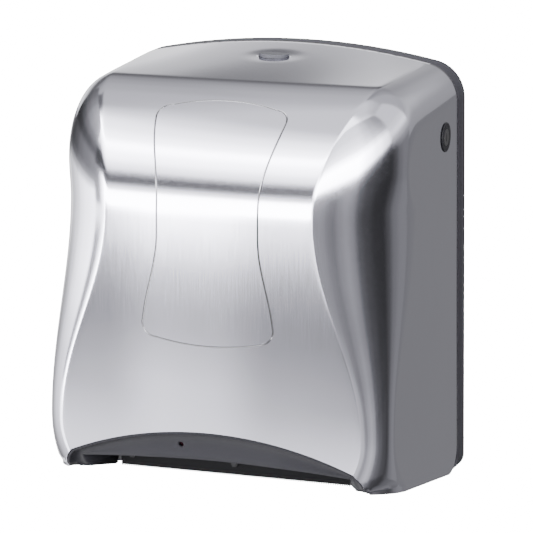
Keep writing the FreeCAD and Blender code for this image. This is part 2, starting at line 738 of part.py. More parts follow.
plate_pieces = [feature(back_plate_shape())]
plate_holes = []
for side in (-1, 1):
    plate_pieces += [hinge_ear(side)] + knuckle_lugs(side)
    plate_holes.append(rod("x", PIN_HOLE, side * EAR_IN - 9, side * EAR_IN + 9,
                           S.hinge_y, S.hinge_z))
    plate_holes.append(rod("z", ARM_PIN_HOLE, S.roll_z - S.arm_half_height - 9,
                           S.roll_z + S.arm_half_height + 9, side * ARM_PIN_X, S.arm_pin_y))
keep(cut(fuse(*plate_pieces), *plate_holes), "back_plate")


# Hinge pins of the cover and pins of the roll arms

def hinge_pin(side):
    """A headed pin pressed into its ear from inside."""
    head = 1.5
    points = [(EAR_IN - head, 0), (EAR_IN - head, S.pin_radius + 2), (EAR_IN, S.pin_radius + 2),
              (EAR_IN, S.pin_radius), (CUP_OUT - 1, S.pin_radius), (CUP_OUT - 1, 0)]
    return turned(points, S.hinge_y, S.hinge_z, side < 0)


keep(group(hinge_pin(-1), hinge_pin(1)), "hinge_pins")
ARM_PIN_LOW = S.roll_z - S.arm_half_height - 5.5
ARM_PIN_HIGH = S.roll_z + S.arm_half_height + 5.5
keep(group(*[rod("z", S.arm_pin_radius, ARM_PIN_LOW, ARM_PIN_HIGH, side * ARM_PIN_X, S.arm_pin_y)
             for side in (-1, 1)]), "arm_pins")


# Pivot cups riveted into the cover's sides, turning on the hinge pins

def pivot_cup(side):
    """A flanged cup whose plug shows as a shallow round recess outside."""
    bore = S.pin_radius + S.pin_play
    face = HINGE_SIDE - S.pivot_recess
    floor = CUP_OUT - 0.7
    points = [(CUP_IN, bore), (CUP_IN, S.pivot_flange_radius), (CUP_OUT, S.pivot_flange_radius),
              (CUP_OUT, S.pivot_radius), (face, S.pivot_radius), (face, 0), (floor, 0),
              (floor, bore)]
    return turned(points, S.hinge_y, S.hinge_z, side < 0)


keep(pivot_cup(-1), "left_pivot_cup")
keep(pivot_cup(1), "right_pivot_cup")


# Latch button, its hook and guide box under the roof

def latch_button_shape():
    """Oval button with a retaining flange, a stem and a rearward hook under it."""
    top = ROOF_AT_BUTTON + N.button_proud
    flange_low = N.button_flange_z - N.button_flange
    cap = oval(N.button_width, N.button_depth, N.button_flange_z - 1, top)
    flange = oval(N.button_width, N.button_depth, flange_low, N.button_flange_z, 2)
    hook_low = N.hook_top_z - N.hook_thick
    stem = Part.makeCylinder(N.stem_radius, flange_low - hook_low + 1,
                             V(0, N.button_y, hook_low), V(0, 0, 1))
    front_y = N.button_y - N.stem_radius - 1
    back_y = N.button_y + N.hook_reach
    nose_y = back_y - N.hook_nose_thick
    nose_z = N.hook_top_z + N.hook_nose
    side = polygon([V(0, front_y, hook_low), V(0, back_y, hook_low), V(0, back_y, nose_z - 1.5),
                    V(0, nose_y + 1, nose_z), V(0, nose_y, nose_z), V(0, nose_y, N.hook_top_z),
                    V(0, front_y, N.hook_top_z)])
    hook = Part.Face(side).extrude(V(N.hook_width, 0, 0))
    hook.translate(V(-N.hook_width / 2, 0, 0))
    return cap.fuse([flange, stem, hook]).removeSplitter()


def guide_box_shape():
    """U-shaped guide whose legs meet the underside of the roof."""
    half, wall, floor_top = N.guide_box_half, N.guide_box_wall, N.guide_box_z
    front_y, back_y = N.button_y - N.guide_box_depth / 2, N.button_y + N.guide_box_depth / 2
    legs = []
    for side in (-1, 1):
        x = side * (half - wall / 2)
        heights = [roof_height(x, y) - N.cover_wall - 0.5 for y in (front_y, back_y)]
        face = Part.Face(polygon([V(x - wall / 2, front_y, floor_top - wall),
                                  V(x - wall / 2, back_y, floor_top - wall),
                                  V(x - wall / 2, back_y, heights[1]),
                                  V(x - wall / 2, front_y, heights[0])]))
        legs.append(face.extrude(V(wall, 0, 0)))
    floor = Part.makeBox(2 * half, N.guide_box_depth, wall, V(-half, front_y, floor_top - wall))
    hole = Part.makeCylinder(N.stem_radius + N.running_play, 9,
                             V(0, N.button_y, floor_top - 5), V(0, 0, 1))
    return floor.fuse(legs).cut(hole).removeSplitter()


def latch_leaf_shape():
    """Bowed leaf spring between the guide box and the button's flange."""
    low = N.guide_box_z + N.fit_gap
    high = N.button_flange_z - N.button_flange - N.fit_gap
    reach, crest, thick = 14.0, 5.0, N.latch_leaf
    upper = [V(-reach, 0, low + thick), V(-crest, 0, high), V(crest, 0, high),
             V(reach, 0, low + thick)]
    lower = [V(reach, 0, low), V(reach - 1.5, 0, low), V(crest - 0.3, 0, high - thick),
             V(0.3 - crest, 0, high - thick), V(1.5 - reach, 0, low), V(-reach, 0, low)]
    leaf = Part.Face(polygon(upper + lower)).extrude(V(0, 10, 0))
    leaf.translate(V(0, N.button_y - 5, 0))
    hole = Part.makeCylinder(N.stem_radius + 0.5, 30, V(0, N.button_y, low - 5), V(0, 0, 1))
    return leaf.cut(hole)


keep(feature(latch_button_shape()), "latch_button")
keep(feature(guide_box_shape()), "latch_guide")
keep(feature(latch_leaf_shape()), "latch_spring")
STRIKE_LOW = S.hook_top_z + S.hook_nose + S.latch_gap
# The lip is as deep as the button sinks, and a little more
STRIKE_DEEP = S.button_travel + 0.2
STRIKE_TOP = STRIKE_LOW + STRIKE_DEEP + S.strike_thick
WALL_SEAT = FLOOR - 0.3
strike_side = [(WALL_SEAT, STRIKE_LOW - 12), (WALL_SEAT, STRIKE_TOP),
               (S.strike_y, STRIKE_TOP), (S.strike_y, STRIKE_LOW),
               (S.strike_y + S.strike_thick, STRIKE_LOW),
               (S.strike_y + S.strike_thick, STRIKE_LOW + STRIKE_DEEP),
               (WALL_SEAT - S.strike_thick, STRIKE_LOW + STRIKE_DEEP),
               (WALL_SEAT - S.strike_thick, STRIKE_LOW - 12)]
keep(pad("YZ_Plane", -S.strike_half, S.strike_half * 2, strike_side), "latch_strike")


# Side lock: bezel tube, turning barrel with its cam, nut and the keeper on the back plate

BARREL_RADIUS = S.lock_core_radius - 2
LOCK_IN = LOCK_SIDE - S.lock_depth
CAM_OUT = LOCK_IN - 0.3
bezel_points = [(LOCK_IN, BARREL_RADIUS + S.lock_play), (LOCK_IN, S.lock_core_radius),
                (LOCK_SIDE + 0.25, S.lock_core_radius), (LOCK_SIDE + 0.25, S.lock_radius),
                (LOCK_SIDE + S.lock_proud, S.lock_radius - 0.4),
                (LOCK_SIDE + S.lock_proud, BARREL_RADIUS + S.lock_play)]
keep(turned(bezel_points, S.lock_y, S.lock_z), "lock_bezel")
nut_out = LOCK_SIDE - S.cover_wall - 0.4
nut_points = [(nut_out - 3, S.lock_core_radius + S.fit_gap), (nut_out - 3, S.lock_radius),
              (nut_out, S.lock_radius), (nut_out, S.lock_core_radius + S.fit_gap)]
keep(turned(nut_points, S.lock_y, S.lock_z), "lock_nut")
barrel = rod("x", BARREL_RADIUS, LOCK_IN - 0.1, LOCK_SIDE + S.lock_proud, S.lock_y, S.lock_z)
key_slot = block(LOCK_SIDE - 3, LOCK_SIDE + 3, S.lock_y - 0.6, S.lock_y + 0.6,
                 S.lock_z - 3.5, S.lock_z + 3.5)
keep(cut(barrel, key_slot), "lock_barrel")
cam_plate = block(CAM_OUT - S.cam_thick, CAM_OUT, S.lock_y - S.cam_width / 2,
                  S.lock_y + S.cam_length, S.lock_z - S.cam_width / 2, S.lock_z + S.cam_width / 2)
cam_screw = rod("x", S.screw_head_radius, CAM_OUT - S.cam_thick - S.screw_head,
                CAM_OUT - S.cam_thick + 0.5, S.lock_y, S.lock_z)
keep(fuse(cam_plate, cam_screw), "lock_cam")
KEEPER_FRONT = S.lock_y - S.cam_width / 2 - 0.5 - S.strike_thick
KEEPER_IN = CAM_OUT - S.cam_thick - S.screw_head - 2
keeper_low, keeper_high = S.lock_z + 11.5, S.lock_z + 25
keeper_arm = block(KEEPER_IN - S.strike_thick, KEEPER_IN, KEEPER_FRONT, WALL_SEAT,
                   keeper_low, keeper_high)
keeper_bar = block(KEEPER_IN - 1, CAM_OUT + 1, KEEPER_FRONT, KEEPER_FRONT + S.strike_thick,
                   keeper_low, keeper_high)
keeper_foot = block(KEEPER_IN - 14, KEEPER_IN, WALL_SEAT - S.strike_thick, WALL_SEAT,
                    keeper_low, keeper_high)
keep(fuse(keeper_arm, keeper_bar, keeper_foot), "lock_keeper")


# Roll arms and the hubs that carry the roll by its core

def roll_arm(side):
    """A sprung arm on a vertical pin, with the axle that its hub turns on."""
    start = ARM_IN if side > 0 else -ARM_OUT
    middle, half = S.roll_z, S.arm_half_height
    tip = half - 4
    web = pad("YZ_Plane", start, S.arm_thick,
              [(S.arm_pin_y, middle - half), (S.roll_y, middle - tip),
               (S.roll_y, middle + tip), (S.arm_pin_y, middle + half)])
    nose = rod("x", tip, start, start + S.arm_thick, S.roll_y, middle)
    knuckle = rod("z", S.knuckle_radius, middle - half, middle + half,
                  side * ARM_PIN_X, S.arm_pin_y)
    axle_end = HUB_FACE - S.hub_reach + 2.3
    low, high = (axle_end, ARM_IN + 1) if side > 0 else (-ARM_IN - 1, -axle_end)
    axle = rod("x", S.hub_axle_radius, low, high, S.roll_y, middle)
    bore = rod("z", S.arm_pin_radius + S.running_play, middle - half - 1, middle + half + 1,
               side * ARM_PIN_X, S.arm_pin_y)
    return cut(fuse(web, nose, knuckle, axle), bore)


def roll_hub(side):
    """A flanged plug with a closed tip that enters the roll's core."""
    tip, bore = HUB_FACE - S.hub_reach, S.hub_axle_radius + S.running_play
    back = HUB_FACE + S.hub_flange
    points = [(tip, 0), (tip, S.hub_tip_radius), (HUB_FACE, S.hub_radius),
              (HUB_FACE, S.hub_flange_radius), (back, S.hub_flange_radius), (back, bore),
              (tip + 2, bore), (tip + 2, 0)]
    return turned(points, S.roll_y, S.roll_z, side < 0)


for side, word in ((-1, "left"), (1, "right")):
    keep(roll_arm(side), word + "_roll_arm")
    keep(roll_hub(side), word + "_roll_hub")


# Feed module: two cheeks, a slanted floor and the front guide panel

CHEEK_IN = S.cheek_x
CHEEK_OUT = S.cheek_x + S.cheek_thick
BUSH_HOLE = S.bush_radius + S.fit_gap


def floor_at(y):
    """Height of the module floor's underside, parallel to the cover's bottom edge."""
    return S.bottom_z + S.bottom_slope * (S.bottom_y - y) + S.floor_clear


CHEEK_OUTLINE = [(WALL_SEAT, S.module_top_z), (S.module_brow_y, S.module_top_z),
                 (S.module_front_y, S.module_brow_z), (S.module_front_y, S.module_chin_z),
                 (S.module_nose_y, S.module_chin_z), (S.module_nose_y, floor_at(S.module_nose_y)),
                 (S.bottom_y, floor_at(S.bottom_y)), (WALL_SEAT, floor_at(S.bottom_y))]

TAB_HIGH, TAB_LOW = S.module_top_z - 4, S.module_top_z - S.tab_drop


def cheek(side):
    """A side wall of the feed module with screw tabs at the back plate."""
    start = CHEEK_IN if side > 0 else -CHEEK_OUT
    holes = [(S.drive_y, S.drive_z, BUSH_HOLE)]
    if side > 0:
        holes.append((S.motor_y, S.motor_z, S.motor_shaft_radius + 1))
    wall = pad("YZ_Plane", start, S.cheek_thick, CHEEK_OUTLINE, holes)
    tabs = []
    near, far = (CHEEK_OUT - 1, CHEEK_OUT + 11) if side > 0 else (-CHEEK_OUT - 11, 1 - CHEEK_OUT)
    for high in (TAB_HIGH, TAB_LOW):
        tabs.append(block(near, far, WALL_SEAT - 3, WALL_SEAT, high - 12, high))
    return fuse(wall, *tabs)


keep(cheek(-1), "left_cheek")
keep(cheek(1), "right_cheek")

INNER = CHEEK_IN - 0.2
NOSE_BACK = S.module_nose_y + S.floor_thick
floor_outline = [(S.bottom_y, floor_at(S.bottom_y)), (S.module_nose_y, floor_at(S.module_nose_y)),
                 (S.module_nose_y, S.tear_top_z), (NOSE_BACK, S.tear_top_z),
                 (NOSE_BACK, floor_at(NOSE_BACK) + S.floor_thick),
                 (S.bottom_y, floor_at(S.bottom_y) + S.floor_thick)]
floor_plate = pad("YZ_Plane", -INNER, INNER * 2, floor_outline)
BOARD_PEGS = [(S.board_x + side * (S.board_half_x - 4), y) for side in (-1, 1)
              for y in (S.board_back_y - 4, S.board_front_y + 4)]
pegs = [rod("z", 3, floor_at(y) + 1, S.board_z - 0.1, x, y) for x, y in BOARD_PEGS]
MOTOR_OUT = INNER - 0.1
MOTOR_IN = MOTOR_OUT - S.motor_length
cradles = []
for low in (MOTOR_IN + 4, MOTOR_OUT - 12):
    wall = block(low, low + 6, S.motor_y - 12, S.motor_y + 12,
                 floor_at(S.motor_y + 12) + 1, S.motor_z - 2)
    cradles.append(cut(wall, rod("x", S.motor_radius + 0.2, low - 9, low + 15,
                                 S.motor_y, S.motor_z)))
keep(fuse(floor_plate, *pegs, *cradles), "module_floor")
GUIDE_BACK = S.guide_y + S.guide_thick
GUIDE_LOW = S.module_chin_z + 0.5
guide_panel = block(-INNER, INNER, S.guide_y, GUIDE_BACK, GUIDE_LOW, S.guide_top_z)
BUTTON_HOLE = S.feed_button_radius + S.button_play
button_hole = rod("y", BUTTON_HOLE, S.guide_y - 9, GUIDE_BACK + 9, S.feed_button_x, S.feed_button_z)
SWITCH_HALF = 2.0
switch_slot = block(S.switch_x - SWITCH_HALF - 0.3, S.switch_x + S.switch_travel + SWITCH_HALF + 0.3,
                    S.guide_y - 9, GUIDE_BACK + 9, S.feed_button_z - 2.3, S.feed_button_z + 2.3)
keep(cut(guide_panel, button_hole, switch_slot), "guide_panel")


# Controls on the guide panel, reached with the cover open

button_cap = rod("y", S.feed_button_radius, S.guide_y - S.feed_button_travel - 1, GUIDE_BACK + 0.3,
                 S.feed_button_x, S.feed_button_z)
button_rim = rod("y", S.feed_button_radius + 1.5, GUIDE_BACK + 0.2, GUIDE_BACK + 1.6,
                 S.feed_button_x, S.feed_button_z)
keep(fuse(button_cap, button_rim), "feed_button")
switch_knob = block(S.switch_x - SWITCH_HALF, S.switch_x + SWITCH_HALF, S.guide_y - 2,
                    GUIDE_BACK + 0.4, S.feed_button_z - 2, S.feed_button_z + 2)
switch_plate = block(S.switch_x - SWITCH_HALF - 5, S.switch_x + SWITCH_HALF + 5,
                     GUIDE_BACK + 0.2, GUIDE_BACK + 1.4, S.feed_button_z - 4, S.feed_button_z + 4)
keep(fuse(switch_knob, switch_plate), "mode_switch")


# Hand sensor behind the eye in the trim

sensor_box = block(S.eye_x - S.sensor_half, S.eye_x + S.sensor_half, S.sensor_y,
                   S.guide_y - 0.2, GUIDE_LOW, S.sensor_top_z)
sensor_bore = rod("y", 3.6, S.sensor_y - 5, S.sensor_y + 3, S.eye_x, S.eye_z)
keep(cut(sensor_box, sensor_bore), "sensor_housing")
keep(rod("y", 3.5, S.sensor_y - 0.8, S.sensor_y + 2.9, S.eye_x, S.eye_z), "sensor_lens")


# Drive roller: steel shaft, plastic core and rubber tyres

CORE_HALF = CHEEK_IN - S.core_end_gap
GEAR_IN = CHEEK_OUT + S.gear_gap
SHAFT_BORE = S.shaft_radius + S.fit_gap
keep(rod("x", S.shaft_radius, -CHEEK_OUT - 0.5, GEAR_IN + S.gear_width + 0.5,
         S.drive_y, S.drive_z), "drive_shaft")
keep(cut(rod("x", S.core_radius, -CORE_HALF, CORE_HALF, S.drive_y, S.drive_z),
         rod("x", SHAFT_BORE, -CHEEK_IN, CHEEK_IN, S.drive_y, S.drive_z)), "drive_core")
TYRE_PLACES = [S.tyre_pitch * k for k in (-1.5, -0.5, 0.5, 1.5)]
tyres = []
for place in TYRE_PLACES:
    start = place - S.tyre_width / 2
    end = start + S.tyre_width
    tyres.append(cut(rod("x", S.tyre_radius, start, end, S.drive_y, S.drive_z),
                     rod("x", S.core_radius + S.fit_gap, start - 1, end + 1, S.drive_y, S.drive_z)))
keep(group(*tyres), "drive_tyres")
bushes = []
for start in (CHEEK_IN - 2.5, -CHEEK_OUT - 0.5):
    end = start + S.bush_length
    bushes.append(cut(rod("x", S.bush_radius, start, end, S.drive_y, S.drive_z),
                      rod("x", S.shaft_radius + S.running_play, start - 1, end + 1,
                          S.drive_y, S.drive_z)))
keep(group(*bushes), "shaft_bushes")


# Pinch roller in two sprung carriers behind the guide panel

PINCH_Y = S.drive_y - S.tyre_radius - S.pinch_radius - S.nip_gap
PINCH_IN = CHEEK_IN - 8
pinch_wheels = [rod("x", S.pinch_radius, place - S.pinch_width / 2, place + S.pinch_width / 2,
                    PINCH_Y, S.drive_z) for place in TYRE_PLACES]
pinch_shaft = rod("x", S.pinch_shaft_radius, -INNER + 0.5, INNER - 0.5, PINCH_Y, S.drive_z)
keep(fuse(pinch_shaft, *pinch_wheels), "pinch_roller")
carriers = []
for start in (-INNER + 0.2, PINCH_IN):
    end = start + (INNER - 0.2 - PINCH_IN)
    carrier = block(start, end, GUIDE_BACK + 0.2, PINCH_Y + 5, GUIDE_LOW, S.drive_z + 8)
    carriers.append(cut(carrier, rod("x", S.pinch_shaft_radius + S.running_play, start - 1, end + 1,
                                     PINCH_Y, S.drive_z)))
keep(group(*carriers), "pinch_carriers")


# Gear train outside the right cheek

def gear_outline(teeth, middle, phase):
    """Involute teeth cut back to straight flanks; one tooth is centred on the phase angle."""
    pitch_radius = N.gear_module * teeth / 2
    pressure = math.radians(N.pressure_angle)
    base = pitch_radius * math.cos(pressure)
    root = pitch_radius - N.gear_dedendum * N.gear_module
    tip = pitch_radius + N.gear_addendum * N.gear_module

    def half_angle(radius):
        lean = math.acos(min(1.0, base / radius))
        spread = math.tan(pressure) - pressure - math.tan(lean) + lean
        return math.pi / (2 * teeth) - N.gear_backlash / (2 * pitch_radius) + spread

    points = []
    for k in range(teeth):
        centre = phase + 2 * math.pi * k / teeth
        for radius, angle in ((root, -half_angle(root)), (tip, -half_angle(tip)),
                              (tip, half_angle(tip)), (root, half_angle(root))):
            points.append(V(0, middle.y + radius * math.cos(centre + angle),
                            middle.z + radius * math.sin(centre + angle)))
    return points


def gear(teeth, middle, phase, start, bore):
    """One gear wheel along X, bored for its shaft."""
    wheel = Part.Face(polygon(gear_outline(teeth, middle, phase)))
    wheel = wheel.extrude(V(N.gear_width, 0, 0))
    wheel.translate(V(start, 0, 0))
    axle = Part.makeCylinder(bore, 3 * N.gear_width, V(start - N.gear_width, middle.y, middle.z),
                             V(1, 0, 0))
    return wheel.cut(axle)


def heading(start, end):
    """Direction from one shaft to the next, as an angle from +Y towards +Z."""
    return math.atan2(end.z - start.z, end.y - start.y)


def idler_place():
    """Where the idler meshes with both the drive gear and the motor pinion."""
    near = N.gear_module * (N.drive_teeth + N.idler_small_teeth) / 2
    far = N.gear_module * (N.motor_teeth + N.idler_teeth) / 2
    apart = DRIVE.distanceToPoint(MOTOR)
    along = (near ** 2 - far ** 2 + apart ** 2) / (2 * apart)
    rise = math.sqrt(near ** 2 - along ** 2)
    step = (MOTOR - DRIVE) / apart
    return DRIVE + step * along + V(0, -step.z, step.y) * rise


DRIVE = V(0, N.drive_y, N.drive_z)
MOTOR = V(0, N.motor_y, N.motor_z)
IDLER = idler_place()
INNER_PLANE = N.cheek_x + N.cheek_thick + N.gear_gap
OUTER_PLANE = INNER_PLANE + N.gear_width + 1
drive_teeth, idler_teeth = int(N.drive_teeth), int(N.idler_teeth)
small_teeth, motor_teeth = int(N.idler_small_teeth), int(N.motor_teeth)
to_idler, to_motor = heading(DRIVE, IDLER), heading(IDLER, MOTOR)
keep(feature(gear(drive_teeth, DRIVE, to_idler, INNER_PLANE, N.shaft_radius + N.fit_gap)),
     "drive_gear")
idler_small = gear(small_teeth, IDLER, to_idler + math.pi + math.pi / small_teeth, INNER_PLANE,
                   N.idler_pin_radius + N.running_play)
idler_large = gear(idler_teeth, IDLER, to_motor, OUTER_PLANE,
                   N.idler_pin_radius + N.running_play)
idler_neck = Part.makeCylinder(5, 1.4, V(INNER_PLANE + N.gear_width - 0.2, IDLER.y, IDLER.z),
                               V(1, 0, 0))
idler_neck = idler_neck.cut(Part.makeCylinder(N.idler_pin_radius + N.running_play, 9,
                                              V(INNER_PLANE, IDLER.y, IDLER.z), V(1, 0, 0)))
keep(feature(idler_small.fuse([idler_neck, idler_large])), "idler_gear")
keep(feature(gear(motor_teeth, MOTOR, to_motor + math.pi + math.pi / motor_teeth, OUTER_PLANE,
                  N.motor_shaft_radius + N.fit_gap)), "motor_pinion")
COVER_IN = OUTER_PLANE + N.gear_width + 1
idler_pin = Part.makeCylinder(N.idler_pin_radius, COVER_IN - INNER_PLANE + N.gear_gap - 0.4,
                              V(INNER_PLANE - N.gear_gap + 0.2, IDLER.y, IDLER.z), V(1, 0, 0))
keep(feature(idler_pin), "idler_pin")
keep(rod("x", S.motor_radius, MOTOR_IN, MOTOR_OUT, S.motor_y, S.motor_z), "motor")
keep(rod("x", S.motor_shaft_radius, MOTOR_OUT + 0.1, OUTER_PLANE + N.gear_width + 0.5,
         S.motor_y, S.motor_z), "motor_shaft")


def gear_cover_shape():
    """Dust cover over the gears, a cup that opens towards the cheek."""
    start = N.cheek_x + N.cheek_thick + 0.2
    drive_reach, idler_reach, pinion_reach = [
        N.gear_module * (teeth / 2 + 1) + 1.2
        for teeth in (N.drive_teeth, N.idler_teeth, N.motor_teeth)]
    cups = []
    for grow, x, depth in ((N.gear_cover_wall, start, COVER_IN + N.gear_cover_wall - start),
                           (0, start - 1, COVER_IN - start + 1)):
        discs = [Part.makeCylinder(reach + grow, depth, V(x, spot.y, spot.z), V(1, 0, 0))
                 for spot, reach in ((DRIVE, drive_reach), (IDLER, idler_reach),
                                     (MOTOR, pinion_reach))]
        cups.append(discs[0].fuse(discs[1:]).removeSplitter())
    return cups[0].cut(cups[1])


keep(feature(gear_cover_shape()), "gear_cover")


# Tear bar: a serrated steel strip on the module's nose

def tear_bar_shape():
    """A thin strip whose lower edge is a row of pointed teeth."""
    teeth = int(2 * N.tear_half / N.tooth_pitch)
    pitch = 2 * N.tear_half / teeth
    back_y = N.module_nose_y - 0.1
    points = [V(-N.tear_half, back_y, N.tear_top_z), V(N.tear_half, back_y, N.tear_top_z)]
    valley = N.tear_tip_z + N.tooth_depth
    for k in range(teeth):
        right = N.tear_half - k * pitch
        points.append(V(right, back_y, valley))
        points.append(V(right - pitch / 2, back_y, N.tear_tip_z))
    points.append(V(-N.tear_half, back_y, valley))
    return Part.Face(polygon(points)).extrude(V(0, -N.tear_thick, 0))


keep(feature(tear_bar_shape()), "tear_bar")


# Battery tray, four cells, their contacts and the tray's lid

CELL_ROWS = [S.cell_row_y, S.cell_row_y - S.cell_row_pitch]
BAY = S.cell_radius + 0.3
BAY_HALF = S.cell_length + S.nub_height + S.cell_gap / 2 + S.contact_gap
TRAY_HALF = BAY_HALF + S.tray_wall
TRAY_BACK = S.cell_row_y + BAY + S.tray_wall
TRAY_FRONT = S.cell_row_y - S.cell_row_pitch - BAY - S.tray_wall
TRAY_LOW = S.cell_z - BAY - S.tray_wall
TRAY_TOP = S.cell_z + BAY + 0.5
LID_LOW = TRAY_TOP + 0.3
LID_TOP = LID_LOW + S.lid_thick
LID_PIN_Y = TRAY_BACK - S.lid_knuckle_radius
LID_PIN_Z = TRAY_TOP + S.lid_knuckle_radius + 0.2
tray_box = block(-TRAY_HALF, TRAY_HALF, TRAY_FRONT, TRAY_BACK, TRAY_LOW, TRAY_TOP)
tray_bays = [rod("x", BAY, -BAY_HALF, BAY_HALF, y, S.cell_z) for y in CELL_ROWS]
tray_tops = [block(-BAY_HALF, BAY_HALF, y - BAY, y + BAY, S.cell_z, TRAY_TOP + 9)
             for y in CELL_ROWS]
tray_extras = []
for side in (-1, 1):
    foot = sorted((side * 10, side * 38))
    tray_extras.append(block(foot[0], foot[1], TRAY_BACK - 1, WALL_SEAT, TRAY_TOP - 8, TRAY_TOP))
    middle = side * (TRAY_HALF - 6)
    tray_extras.append(block(middle - 2, middle + 2, LID_PIN_Y - S.lid_knuckle_radius, TRAY_BACK,
                             TRAY_TOP - 1, LID_PIN_Z + S.lid_knuckle_radius))
ear_bore = rod("x", S.lid_pin_radius + S.running_play, -TRAY_HALF - 9, TRAY_HALF + 9,
               LID_PIN_Y, LID_PIN_Z)
keep(cut(fuse(cut(tray_box, *tray_bays, *tray_tops), *tray_extras), ear_bore), "battery_tray")


def battery_cell(y, facing, shift):
    """A round cell along X, its nub towards +X when facing is 1."""
    body_end = shift + S.cell_length
    nub_end = body_end + S.nub_height
    points = [(shift, 0), (shift, S.cell_radius), (body_end, S.cell_radius),
              (body_end, S.nub_radius), (nub_end, S.nub_radius), (nub_end, 0)]
    return turned(points, y, S.cell_z, facing < 0)


cells = []
for y, facing in zip(CELL_ROWS, (1, -1)):
    for shift in (S.cell_gap / 2, -S.cell_gap / 2 - S.cell_length - S.nub_height):
        cells.append(battery_cell(y, facing, shift))
keep(group(*cells), "battery_cells")
contacts = []
for y in CELL_ROWS:
    for low in (BAY_HALF - 0.2 - S.contact_thick, 0.2 - BAY_HALF):
        contacts.append(block(low, low + S.contact_thick, y - 7, y + 7, S.cell_z - 7, TRAY_TOP - 2))
keep(group(*contacts), "battery_contacts")

LID_HALF = TRAY_HALF - 0.3
lid_side = [(LID_PIN_Y, LID_LOW), (LID_PIN_Y, LID_TOP), (TRAY_FRONT - 1.8, LID_TOP),
            (TRAY_FRONT - 1.8, LID_LOW - 4), (TRAY_FRONT - 0.3, LID_LOW - 4),
            (TRAY_FRONT - 0.3, LID_LOW)]
lid_pieces = [pad("YZ_Plane", -LID_HALF + 9, (LID_HALF - 9) * 2, lid_side)]
for side in (-1, 1):
    inner, outer = sorted((side * (TRAY_HALF - 18), side * (TRAY_HALF - 8.3)), key=float)
    lid_pieces.append(rod("x", S.lid_knuckle_radius, inner, outer, LID_PIN_Y, LID_PIN_Z))
    inner, outer = sorted((side * (TRAY_HALF - 10), side * (TRAY_HALF - 4)), key=float)
    lid_pieces.append(rod("x", S.lid_pin_radius, inner, outer, LID_PIN_Y, LID_PIN_Z))
    inner, outer = sorted((side * (LID_HALF - 10), side * LID_HALF), key=float)
    lid_pieces.append(block(inner, outer, TRAY_FRONT - 0.3,
                            LID_PIN_Y - S.lid_knuckle_radius - 2.5, LID_LOW, LID_TOP))
keep(fuse(*lid_pieces), "battery_lid")


# Control board on the module floor, with its parts

BOARD_TOP = S.board_z + S.board_thick
keep(block(S.board_x - S.board_half_x, S.board_x + S.board_half_x, S.board_front_y,
           S.board_back_y, S.board_z, BOARD_TOP), "control_board")
PARTS_ON = BOARD_TOP + S.fit_gap
chips = [block(x, x + wide, y, y + deep, PARTS_ON, PARTS_ON + high)
         for x, wide, y, deep, high in ((S.board_x - 22, 12, S.board_back_y - 32, 12, 1.6),
                                        (S.board_x + 4, 8, S.board_back_y - 28, 5, 1.6),
                                        (S.board_x - 8, 16, S.board_back_y - 52, 7, 8),
                                        (S.board_x + 20, 10, S.board_back_y - 48, 7, 8))]
capacitor = rod("z", 4, PARTS_ON, PARTS_ON + 11, S.board_x + 24, S.board_back_y - 20)
keep(group(*chips, capacitor), "board_parts")


# Screws of the housing: cheek tabs, strike, keeper, board and tear bar

def screw_head(x, y, z, upright=False):
    """A hexagonal screw head that stands out along -Y, or along +Z when upright."""
    head = doc.addObject("Part::Prism", "Head")
    head.Polygon = 6
    turn = 0 if upright else 90
    head.Placement = FreeCAD.Placement(V(0, 0, 0), FreeCAD.Rotation(V(1, 0, 0), turn))
    bind(head, Circumradius=S.screw_head_radius, Height=S.screw_head)
    bind(head, Placement_Base_x=x, Placement_Base_y=y, Placement_Base_z=z)
    return head


TAB_SEAT = WALL_SEAT - 3.1
FOOT_SEAT = WALL_SEAT - S.strike_thick - 0.1
screws = [screw_head(side * (CHEEK_OUT + 5), TAB_SEAT, high - 6)
          for side in (-1, 1) for high in (TAB_HIGH, TAB_LOW)]
screws += [screw_head(side * 8, FOOT_SEAT, STRIKE_LOW - 7) for side in (-1, 1)]
screws.append(screw_head(KEEPER_IN - 8, FOOT_SEAT, keeper_low + 6))
screws += [screw_head(S.tear_half * k * 0.9, S.module_nose_y - 0.2 - S.tear_thick,
                      S.tear_top_z - 4) for k in (-1, 0, 1)]
screws += [screw_head(x, y, PARTS_ON, True) for x, y in BOARD_PEGS]
keep(group(*screws), "housing_screws")


# Every object must be sound before the parts are written out

doc.recompute()
for item in doc.Objects:
    if "Invalid" in item.State or "Error" in item.State:
        raise RuntimeError("%s did not rebuild: %s" % (item.Label, item.State))
os.makedirs("parts", exist_ok=True)
for item in kept:
    shape = item.Shape
    if shape.isNull() or not shape.isValid() or not shape.Solids:
        raise RuntimeError("%s is not a sound solid" % item.Label)
    shape.exportStep("parts/%s.step" % item.Label)
doc.recompute()
